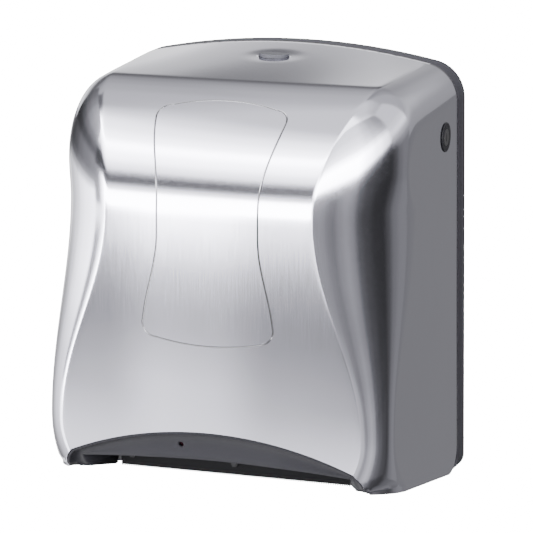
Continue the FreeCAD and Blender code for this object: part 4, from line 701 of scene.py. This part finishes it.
button_plastic = moulded_plastic("button_grey", (0.03, 0.03, 0.037), 0.45)
paint_nodes(button_plastic, "latch_button")
guide_plastic = moulded_plastic("guide_box_black", (0.03, 0.03, 0.032), 0.5)
paint_nodes(guide_plastic, "latch_guide")
spring_steel = brushed_metal("spring_strip", (0.55, 0.54, 0.52), (40, 1400, 1400), 0.15, 0.3,
                             0.2)
paint_nodes(spring_steel, "latch_strike")
paint(bowed_leaf, spring_steel)
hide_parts("latch_spring")
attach(bowed_leaf, "cover")
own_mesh(bowed_leaf)


# Side lock: a blacked bezel round a plated barrel, held from inside by a nut. A steel cam on
# the barrel turns behind the keeper on the back plate.

lock_black = moulded_plastic("lock_blacked", (0.008, 0.008, 0.01), 0.4, sheen=0.12)
paint_nodes(lock_black, "lock_bezel", "lock_nut")
chrome = brushed_metal("lock_chrome", (0.12, 0.12, 0.13), (60, 900, 900), 0.06, 0.3, 0.1)
paint_nodes(chrome, "lock_barrel")
paint_nodes(spring_steel, "lock_cam", "lock_keeper")


# Back plate: a charcoal moulded tray with ribs and bosses, screwed to the wall. The cover
# swings on its steel pins, in pivot cups riveted into the cover's sides.

plate_plastic = moulded_plastic("plate_charcoal", (0.02, 0.0195, 0.0245), 0.55, sheen=0.15)
paint_nodes(plate_plastic, "back_plate")
pin_steel = brushed_metal("turned_pin", (0.6, 0.6, 0.6), (30, 1500, 1500), 0.1, 0.28, 0.15)
paint_nodes(pin_steel, "hinge_pins", "arm_pins", "left_pivot_cup", "right_pivot_cup")
screw_black = moulded_plastic("screw_blacked", (0.012, 0.012, 0.014), 0.4, sheen=0.15)
paint_nodes(screw_black, "housing_screws")


# Roll holders: two swinging arms moulded in charcoal plastic, and the pale hubs on them
# that spin in the roll's core.

arm_plastic = moulded_plastic("arm_charcoal", (0.022, 0.022, 0.026), 0.45)
paint_nodes(arm_plastic, "left_roll_arm", "right_roll_arm")
hub_plastic = moulded_plastic("hub_pale", (0.62, 0.63, 0.63), 0.4)
paint_nodes(hub_plastic, "left_roll_hub", "right_roll_hub")


# Feed module: cheeks, floor, guide panel, gear cover and battery tray, moulded in a lighter
# charcoal and screwed to the back plate by the cheeks' tabs. Its controls are pale plastic,
# and the hand sensor looks out through a smoked lens.

module_plastic = moulded_plastic("module_charcoal", (0.03, 0.03, 0.034), 0.5)
paint_nodes(module_plastic, "left_cheek", "right_cheek", "module_floor", "guide_panel",
            "gear_cover", "battery_tray", "battery_lid", "pinch_carriers")
control_plastic = moulded_plastic("control_pale", (0.55, 0.56, 0.57), 0.4)
paint_nodes(control_plastic, "feed_button", "mode_switch")
sensor_black = moulded_plastic("sensor_black", (0.02, 0.02, 0.022), 0.35)
paint_nodes(sensor_black, "sensor_housing")
lens_dark = moulded_plastic("lens_smoked", (0.02, 0.006, 0.01), 0.08, relief=0.02)
paint_nodes(lens_dark, "sensor_lens")


# Drive: rubber tyres on a plastic core and steel shaft in brass bushes, a pinch roller
# against them, and a white gear train to the motor.

roller_plastic = moulded_plastic("roller_core", (0.1, 0.1, 0.105), 0.4)
paint_nodes(roller_plastic, "drive_core", "pinch_roller")
tyre_rubber = moulded_plastic("tyre_rubber", (0.03, 0.03, 0.03), 0.75, 1500.0, 0.4)
paint_nodes(tyre_rubber, "drive_tyres")
gear_plastic = moulded_plastic("gear_white", (0.75, 0.73, 0.68), 0.35)
paint_nodes(gear_plastic, "drive_gear", "idler_gear", "motor_pinion")
motor_steel = brushed_metal("motor_can", (0.5, 0.5, 0.52), (30, 1200, 1200), 0.12, 0.32, 0.15)
paint_nodes(motor_steel, "motor")
brass = brushed_metal("bush_brass", (0.72, 0.5, 0.22), (1200, 60, 1200), 0.1, 0.3, 0.15)
paint_nodes(brass, "shaft_bushes")
paint_nodes(pin_steel, "drive_shaft", "motor_shaft", "idler_pin")


# Tear bar: a strip of spring steel screwed to the module's nose, its face painted near-black as
# painted shade for the shade it sits in behind the outlet, its fine teeth ground bright.

BLADE_HALF, BLADE_TOP_Z, BLADE_TIP_Z, BLADE_THICK = 101.0, -146.0, -161.0, 1.0
BLADE_TEETH, TOOTH_DEPTH, GROUND_EDGE = 100, 1.5, 0.2
blade_back_y = nodes["tear_bar"].bound_box[0][1] * 1000 + BLADE_THICK
tooth_pitch = 2 * BLADE_HALF / BLADE_TEETH
blade_points, blade_faces = [], []
for face_y in (blade_back_y - BLADE_THICK, blade_back_y):
    for k in range(2 * BLADE_TEETH + 1):
        x = -BLADE_HALF + k * tooth_pitch / 2
        low_z = BLADE_TIP_Z if k % 2 else BLADE_TIP_Z + TOOTH_DEPTH
        blade_points += [Vector((x, face_y, BLADE_TOP_Z)), Vector((x, face_y, low_z))]
blade_count = 2 * (2 * BLADE_TEETH + 1)
for k in range(0, blade_count - 2, 2):
    a, b = k, k + blade_count
    blade_faces += [(a, a + 1, a + 3, a + 2), (b, b + 2, b + 3, b + 1),
                    (a, a + 2, b + 2, b), (a + 1, b + 1, b + 3, a + 3)]
a, b = blade_count - 2, 2 * blade_count - 2
blade_faces += [(0, blade_count, blade_count + 1, 1), (a, a + 1, b + 1, b)]
tear_blade = new_piece("tear_blade", blade_points, blade_faces, False)


def axes_of(tree, label):
    """The X, Y and Z sockets of the coordinates with this label, such as Object."""
    parts = tree.nodes.new("ShaderNodeSeparateXYZ")
    feed(tree, parts.inputs[0], tree.nodes.new("ShaderNodeTexCoord").outputs[label])
    return parts.outputs


blade_shade_material, tree, shader = new_material("blade_with_painted_shade")
ground = tree.nodes.new("ShaderNodeMapRange")
feed(tree, ground.inputs["Value"], axes_of(tree, "Object")["Z"])
feed(tree, ground.inputs["From Min"], (BLADE_TIP_Z + TOOTH_DEPTH) / 1000)
feed(tree, ground.inputs["From Max"], (BLADE_TIP_Z + (1 - GROUND_EDGE) * TOOTH_DEPTH) / 1000)
tone = tree.nodes.new("ShaderNodeMix")
tone.data_type = "RGBA"
# Near-black above the teeth: painted shade on the blade's face; bare steel only at the tooth tips.
tone.inputs["A"].default_value = (0.004, 0.004, 0.005, 1)
tone.inputs["B"].default_value = (0.5, 0.5, 0.51, 1)
tree.links.new(ground.outputs["Result"], tone.inputs["Factor"])
tree.links.new(tone.outputs["Result"], shader.inputs["Base Color"])
tree.links.new(ground.outputs["Result"], shader.inputs["Metallic"])
shader.inputs["Roughness"].default_value = 0.45
shader.inputs["Specular IOR Level"].default_value = 0.05
paint(tear_blade, blade_shade_material)
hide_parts("tear_bar")
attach(tear_blade, "housing")


# Power: four round cells lie in their tray between sprung contacts, under a hinged lid. A
# green laminate board, screwed to the module's floor, reads the sensor and runs the motor.

cell_jacket = moulded_plastic("cell_jacket", (0.05, 0.05, 0.055), 0.25, 400.0, 0.05)
paint_nodes(cell_jacket, "battery_cells")
paint_nodes(spring_steel, "battery_contacts")
board_green = moulded_plastic("board_laminate", (0.02, 0.13, 0.06), 0.35, 900.0, 0.1)
paint_nodes(board_green, "control_board")
part_black = moulded_plastic("part_black", (0.02, 0.02, 0.02), 0.5)
paint_nodes(part_black, "board_parts")


# Camera at the photograph's angle, a white room, and soft boxes that draw the bands on the
# brushed steel.

AZIMUTH, ELEVATION, DISTANCE = math.radians(19.413), math.radians(12.276), 2.8359
FRAME, FOCAL_PIXELS, CENTRE_X, CENTRE_Y, SENSOR = 533, 3402.2, 254.45, 274.73, 36
aim = Vector((0, -0.115, 0))
lens = bpy.data.cameras.new("camera")
lens.lens = FOCAL_PIXELS * SENSOR / FRAME
lens.sensor_width = SENSOR
lens.shift_x = (FRAME / 2 - CENTRE_X) / FRAME
lens.shift_y = (CENTRE_Y - FRAME / 2) / FRAME
lens.clip_end = 50
camera = add_object("camera", lens)
camera.location = aim + DISTANCE * Vector((math.sin(AZIMUTH) * math.cos(ELEVATION),
                                           -math.cos(AZIMUTH) * math.cos(ELEVATION),
                                           math.sin(ELEVATION)))
camera.rotation_euler = (aim - camera.location).to_track_quat("-Z", "Y").to_euler()
bpy.context.scene.camera = camera

BRIGHTEST = 24.0


def clamped(tree, value):
    """A value held between 0 and 1."""
    return link_math(tree, "MINIMUM", link_math(tree, "MAXIMUM", value, 0.0), 1.0)


def light_ramp(tree, source, stops, ends=None):
    """Brightness along a range, smooth through (place, brightness) stops.

    The range is the one in ends, or else it runs from the first stop to the last."""
    low, high = ends or (stops[0][0], stops[-1][0])
    place = link_math(tree, "DIVIDE", link_math(tree, "SUBTRACT", source, low), high - low)
    curve = tree.nodes.new("ShaderNodeValToRGB")
    curve.color_ramp.interpolation = "EASE"
    ramp = curve.color_ramp.elements
    while len(ramp) < len(stops):
        ramp.new(0.5)
    for element, (at, bright) in zip(ramp, stops):
        element.position = (at - low) / (high - low)
        level = bright / BRIGHTEST
        element.color = (level, level, level, 1)
    feed(tree, curve.inputs["Fac"], clamped(tree, place))
    return link_math(tree, "MULTIPLY", curve.outputs["Color"], BRIGHTEST)


world = bpy.data.worlds.new("studio")
world.use_nodes = True
bpy.context.scene.world = world
sky = world.node_tree
backdrop = sky.nodes["Background"]
WHOLE_TURN, DEGREES = (-180.0, 180.0), 180 / math.pi
LEFT_BACK_LIGHT, RIGHT_LIGHT, SEEN_LIGHT = 0.25, 0.5, 18.0
way = axes_of(sky, "Generated")
height = link_math(sky, "MULTIPLY", link_math(sky, "ARCSINE", way["Z"]), DEGREES)
round_angle = link_math(sky, "MULTIPLY", link_math(
    sky, "ARCTAN2", way["X"], link_math(sky, "MULTIPLY", way["Y"], -1.0)), DEGREES)
front_light = light_ramp(sky, height, [
    (-20, 1.0), (7, 0.6), (9, 0.1), (18, 0.1), (21, 1.0), (26, 5.0), (36, 11), (44, 18), (50, 9),
    (58, 5.6), (66, 3.0), (72, 1.7)], (-20.0, 75.0))
back_light = light_ramp(sky, height, [
    (5, 0.5), (24, 0.15), (29, 0.15), (38, 0.4), (46, 0.75), (54, 1.03), (62, 1.1), (68, 1.4),
    (72, 1.7)], (5.0, 75.0))
low_light = light_ramp(sky, round_angle, [
    (-180, 0.5), (-150, 1.3), (-120, 3.0), (-85, 5.5), (-60, 7.0), (-25, 3.5), (10, 1.5),
    (22, 0.5), (30, 0.30), (43, 0.30), (58, 0.55), (68, 0.3), (78, 0.16), (88, 0.1),
    (104, 0.07), (122, 0.2), (150, 0.28), (180, 0.3)], WHOLE_TURN)
window_rise = light_ramp(sky, height, [(-30, 0), (-16, 3), (-9, 24), (5.5, 24), (8, 0)],
                         (-30.0, 20.0))
window_span = light_ramp(sky, round_angle, [(-76, 0), (-58, 24), (-2, 24), (16, 0)], WHOLE_TURN)
screen_rise = light_ramp(sky, height, [(6, 0), (10, 8), (14, 16), (24, 16), (32, 6)],
                         (-30.0, 40.0))
screen_span = light_ramp(sky, round_angle, [
    (-4, 0), (8, 24), (62, 24), (84, 6), (104, 4), (118, 0)], WHOLE_TURN)


def held(source, slope, start):
    """A straight rise through zero at start, held between 0 and 1."""
    return clamped(sky, link_math(sky, "MULTIPLY", link_math(sky, "SUBTRACT", source, start),
                                  slope))


def blend_light(first, second, share):
    """first where share is 0, second where it is 1."""
    kept_part = link_math(sky, "MULTIPLY", first, link_math(sky, "SUBTRACT", 1.0, share))
    return link_math(sky, "ADD", kept_part, link_math(sky, "MULTIPLY", second, share))


def panel_light(rise, span):
    """A soft box in the room, from its brightness by height and by direction."""
    return link_math(sky, "MULTIPLY", link_math(sky, "MULTIPLY", rise, span), 1 / BRIGHTEST)


high_light = blend_light(front_light, back_light, held(way["Y"], 4.0, -0.15))
leftness = held(way["X"], -8.0, -0.5)
left_back = link_math(sky, "MULTIPLY", leftness, held(way["Y"], 4.0, -0.12))
high_light = blend_light(high_light, LEFT_BACK_LIGHT, left_back)
high_light = blend_light(high_light, RIGHT_LIGHT, held(way["X"], 6.0, 0.75))
lowness = blend_light(held(height, -0.3, 13.0), held(height, -0.5, -8.0), leftness)
room_light = blend_light(high_light, low_light, lowness)
room_light = link_math(sky, "MAXIMUM", room_light, panel_light(window_rise, window_span))
room_light = link_math(sky, "MAXIMUM", room_light, panel_light(screen_rise, screen_span))
path = sky.nodes.new("ShaderNodeLightPath")
seen = blend_light(room_light, SEEN_LIGHT, path.outputs["Is Camera Ray"])
feed(sky, backdrop.inputs["Strength"], seen)
feed(sky, backdrop.inputs["Color"], (1, 1, 1, 1))


def light_card(name, corners, stops, across, fade=(-9.0, -8.0), beyond=None, lean=(9.0, 0.0)):
    """A soft box seen only in reflections: brightness by height, times a share by width.

    The share is full at fade[1] and gone at fade[0], or there it is the one in beyond. Past
    lean[0] in width the heights rise by lean[1] for each metre."""
    mesh = bpy.data.meshes.new(name)
    mesh.from_pydata(corners, [], [(0, 1, 2, 3)])
    card = add_object(name, mesh)
    material = bpy.data.materials.new(name)
    material.use_nodes = True
    mesh.materials.append(material)
    tree = material.node_tree
    tree.nodes.clear()
    axes = axes_of(tree, "Object")
    past = link_math(tree, "SUBTRACT", axes["X"], lean[0])
    rise = link_math(tree, "MULTIPLY", link_math(tree, "MAXIMUM", past, 0.0), lean[1])
    level = link_math(tree, "SUBTRACT", axes["Z"], rise)
    strength = light_ramp(tree, level, stops)
    share = light_ramp(tree, axes["X"], across)
    other = light_ramp(tree, axes["X"], beyond) if beyond else 1.0
    climb = link_math(tree, "SUBTRACT", level, fade[0])
    full = clamped(tree, link_math(tree, "DIVIDE", climb, fade[1] - fade[0]))
    gone = link_math(tree, "MULTIPLY", other, link_math(tree, "SUBTRACT", 1.0, full))
    share = link_math(tree, "ADD", gone, link_math(tree, "MULTIPLY", share, full))
    glow = tree.nodes.new("ShaderNodeEmission")
    feed(tree, glow.inputs["Strength"], link_math(tree, "MULTIPLY", strength, share))
    put = tree.nodes.new("ShaderNodeOutputMaterial")
    feed(tree, put.inputs["Surface"], glow.outputs[0])
    card.visible_camera = card.visible_shadow = False
    card.visible_diffuse = card.visible_transmission = False


light_card("front_card", [(-0.75, -0.63, -0.9), (0.16, -0.63, -0.9),
                          (0.16, -0.63, 0.02), (-0.75, -0.63, 0.02)],
           [(-0.9, 1.8), (-0.35, 2.4), (-0.27, 2.6), (-0.23, 2.6), (-0.18, 2.35),
            (-0.155, 1.75), (-0.125, 1.2), (-0.105, 1.15), (-0.085, 1.6), (-0.065, 2.4),
            (-0.045, 5.5), (-0.02, 11), (0.0, 20), (0.02, 24)],
           [(-0.75, 0.8), (-0.45, 0.4), (-0.33, 0.48), (-0.23, 1.0), (-0.15, 0.9), (-0.04, 0.42),
            (0.16, 0.3)], (-0.26, -0.19))
light_card("right_card", [(0.16, -0.63, -0.9), (0.95, -0.63, -0.9),
                          (0.95, -0.63, 0.05), (0.16, -0.63, 0.05)],
           [(-0.9, 0.3), (-0.205, 0.34), (-0.155, 0.5), (-0.10, 0.48), (-0.07, 1.0), (-0.046, 2.0),
            (-0.03, 5.0), (0.0, 12), (0.05, 18)],
           [(0.16, 1.0), (0.45, 1.0), (0.6, 0.6), (0.8, 1.2), (0.95, 1.2)])
light_card("corner_card", [(0.15, -0.51, -0.3), (0.37, -0.13, -0.3),
                           (0.37, -0.13, 0.56), (0.15, -0.51, 0.56)],
           [(-0.3, 1.3), (-0.19, 1.2), (-0.12, 0.85), (-0.05, 0.6), (0.0, 0.5), (0.05, 0.6),
            (0.08, 0.65), (0.1, 0.8), (0.113, 1.1), (0.122, 2.6), (0.13, 8), (0.14, 20), (0.19, 24),
            (0.215, 14), (0.24, 6), (0.29, 4), (0.36, 3), (0.56, 2.5)],
           [(0.15, 1.0), (0.205, 0.9), (0.218, 0.8), (0.231, 0.55), (0.242, 0.45), (0.254, 0.7),
            (0.268, 0.88), (0.281, 0.7), (0.294, 0.26), (0.31, 0.17), (0.339, 0.1),
            (0.37, 0.08)], (0.125, 0.09),
           [(0.15, 1.0), (0.28, 1.0), (0.3, 0.6), (0.32, 0.35), (0.35, 0.2), (0.37, 0.15)],
           (0.28, 0.8))
light_card("side_card", [(0.37, -0.13, -0.3), (0.31, 0.04, -0.3),
                         (0.31, 0.04, 0.56), (0.37, -0.13, 0.56)],
           [(-0.3, 0.35), (0.04, 0.33), (0.06, 0.3), (0.15, 0.3), (0.175, 0.5), (0.2, 0.9),
            (0.24, 2.3), (0.275, 1.8), (0.32, 1.5), (0.56, 1.5)],
           [(0.31, 1.0), (0.33, 1.0), (0.347, 0.8), (0.362, 0.35), (0.37, 0.2)],
           (0.2, 0.165))
light_card("left_card", [(-0.36, 0.03, -0.3), (-0.335, -0.26, -0.3),
                         (-0.335, -0.26, 0.34), (-0.36, 0.03, 0.34)],
           [(-0.3, 1.8), (-0.08, 3.0), (-0.04, 4.0), (-0.01, 6), (0.008, 7.5), (0.06, 7.5),
            (0.077, 2.8), (0.09, 0.8), (0.11, 0.5), (0.145, 0.52), (0.17, 0.25), (0.18, 0.25),
            (0.21, 0.52), (0.245, 0.95), (0.29, 1.3), (0.34, 1.5)],
           [(-0.36, 0.15), (-0.355, 0.2), (-0.349, 0.32), (-0.345, 0.55), (-0.341, 0.75),
            (-0.335, 1.0)])
light_card("roof_card", [(-0.9, 0.25, 0.14), (0.06, 0.25, 0.14),
                         (0.06, 0.25, 1.0), (-0.9, 0.25, 1.0)],
           [(0.14, 2.0), (0.235, 2.0), (0.255, 1.4), (0.27, 1.2), (0.3, 1.0), (0.318, 0.42),
            (0.33, 0.34), (0.366, 0.18), (0.42, 0.3), (0.5, 0.6), (0.6, 0.8), (0.75, 1.0),
            (1.0, 1.1)],
           [(-0.9, 0.85), (-0.3, 0.85), (-0.2, 0.95), (0.0, 1.0), (0.06, 0.75)])
light_card("roof_corner_card", [(0.06, 0.25, 0.14), (0.6, 0.25, 0.14),
                                (0.6, 0.25, 1.1), (0.06, 0.25, 1.1)],
           [(0.14, 0.5), (0.21, 0.55), (0.231, 0.62), (0.254, 0.78), (0.281, 0.95),
            (0.304, 0.95), (0.335, 0.85), (0.4, 0.75), (0.55, 0.8), (0.7, 0.8), (1.1, 0.85)],
           [(0.06, 0.75), (0.13, 0.6), (0.2, 0.75), (0.26, 1.0), (0.6, 1.0)])

FLOOR_HALF, FLOOR_Z, FLOOR_GLOW = 9, -0.9, 16.0
floor_mesh = bpy.data.meshes.new("floor")
floor_mesh.from_pydata([(x * FLOOR_HALF, y * FLOOR_HALF, FLOOR_Z)
                        for x, y in ((-1, -1), (1, -1), (1, 1), (-1, 1))], [], [(0, 1, 2, 3)])
floor = add_object("floor", floor_mesh)
floor_white, tree, shader = new_material("floor_white")
feed(tree, shader.inputs["Base Color"], (0.85, 0.85, 0.85, 1))
feed(tree, shader.inputs["Emission Color"], (1, 1, 1, 1))
feed(tree, shader.inputs["Emission Strength"], FLOOR_GLOW)
floor_mesh.materials.append(floor_white)
floor.visible_glossy = floor.visible_diffuse = False
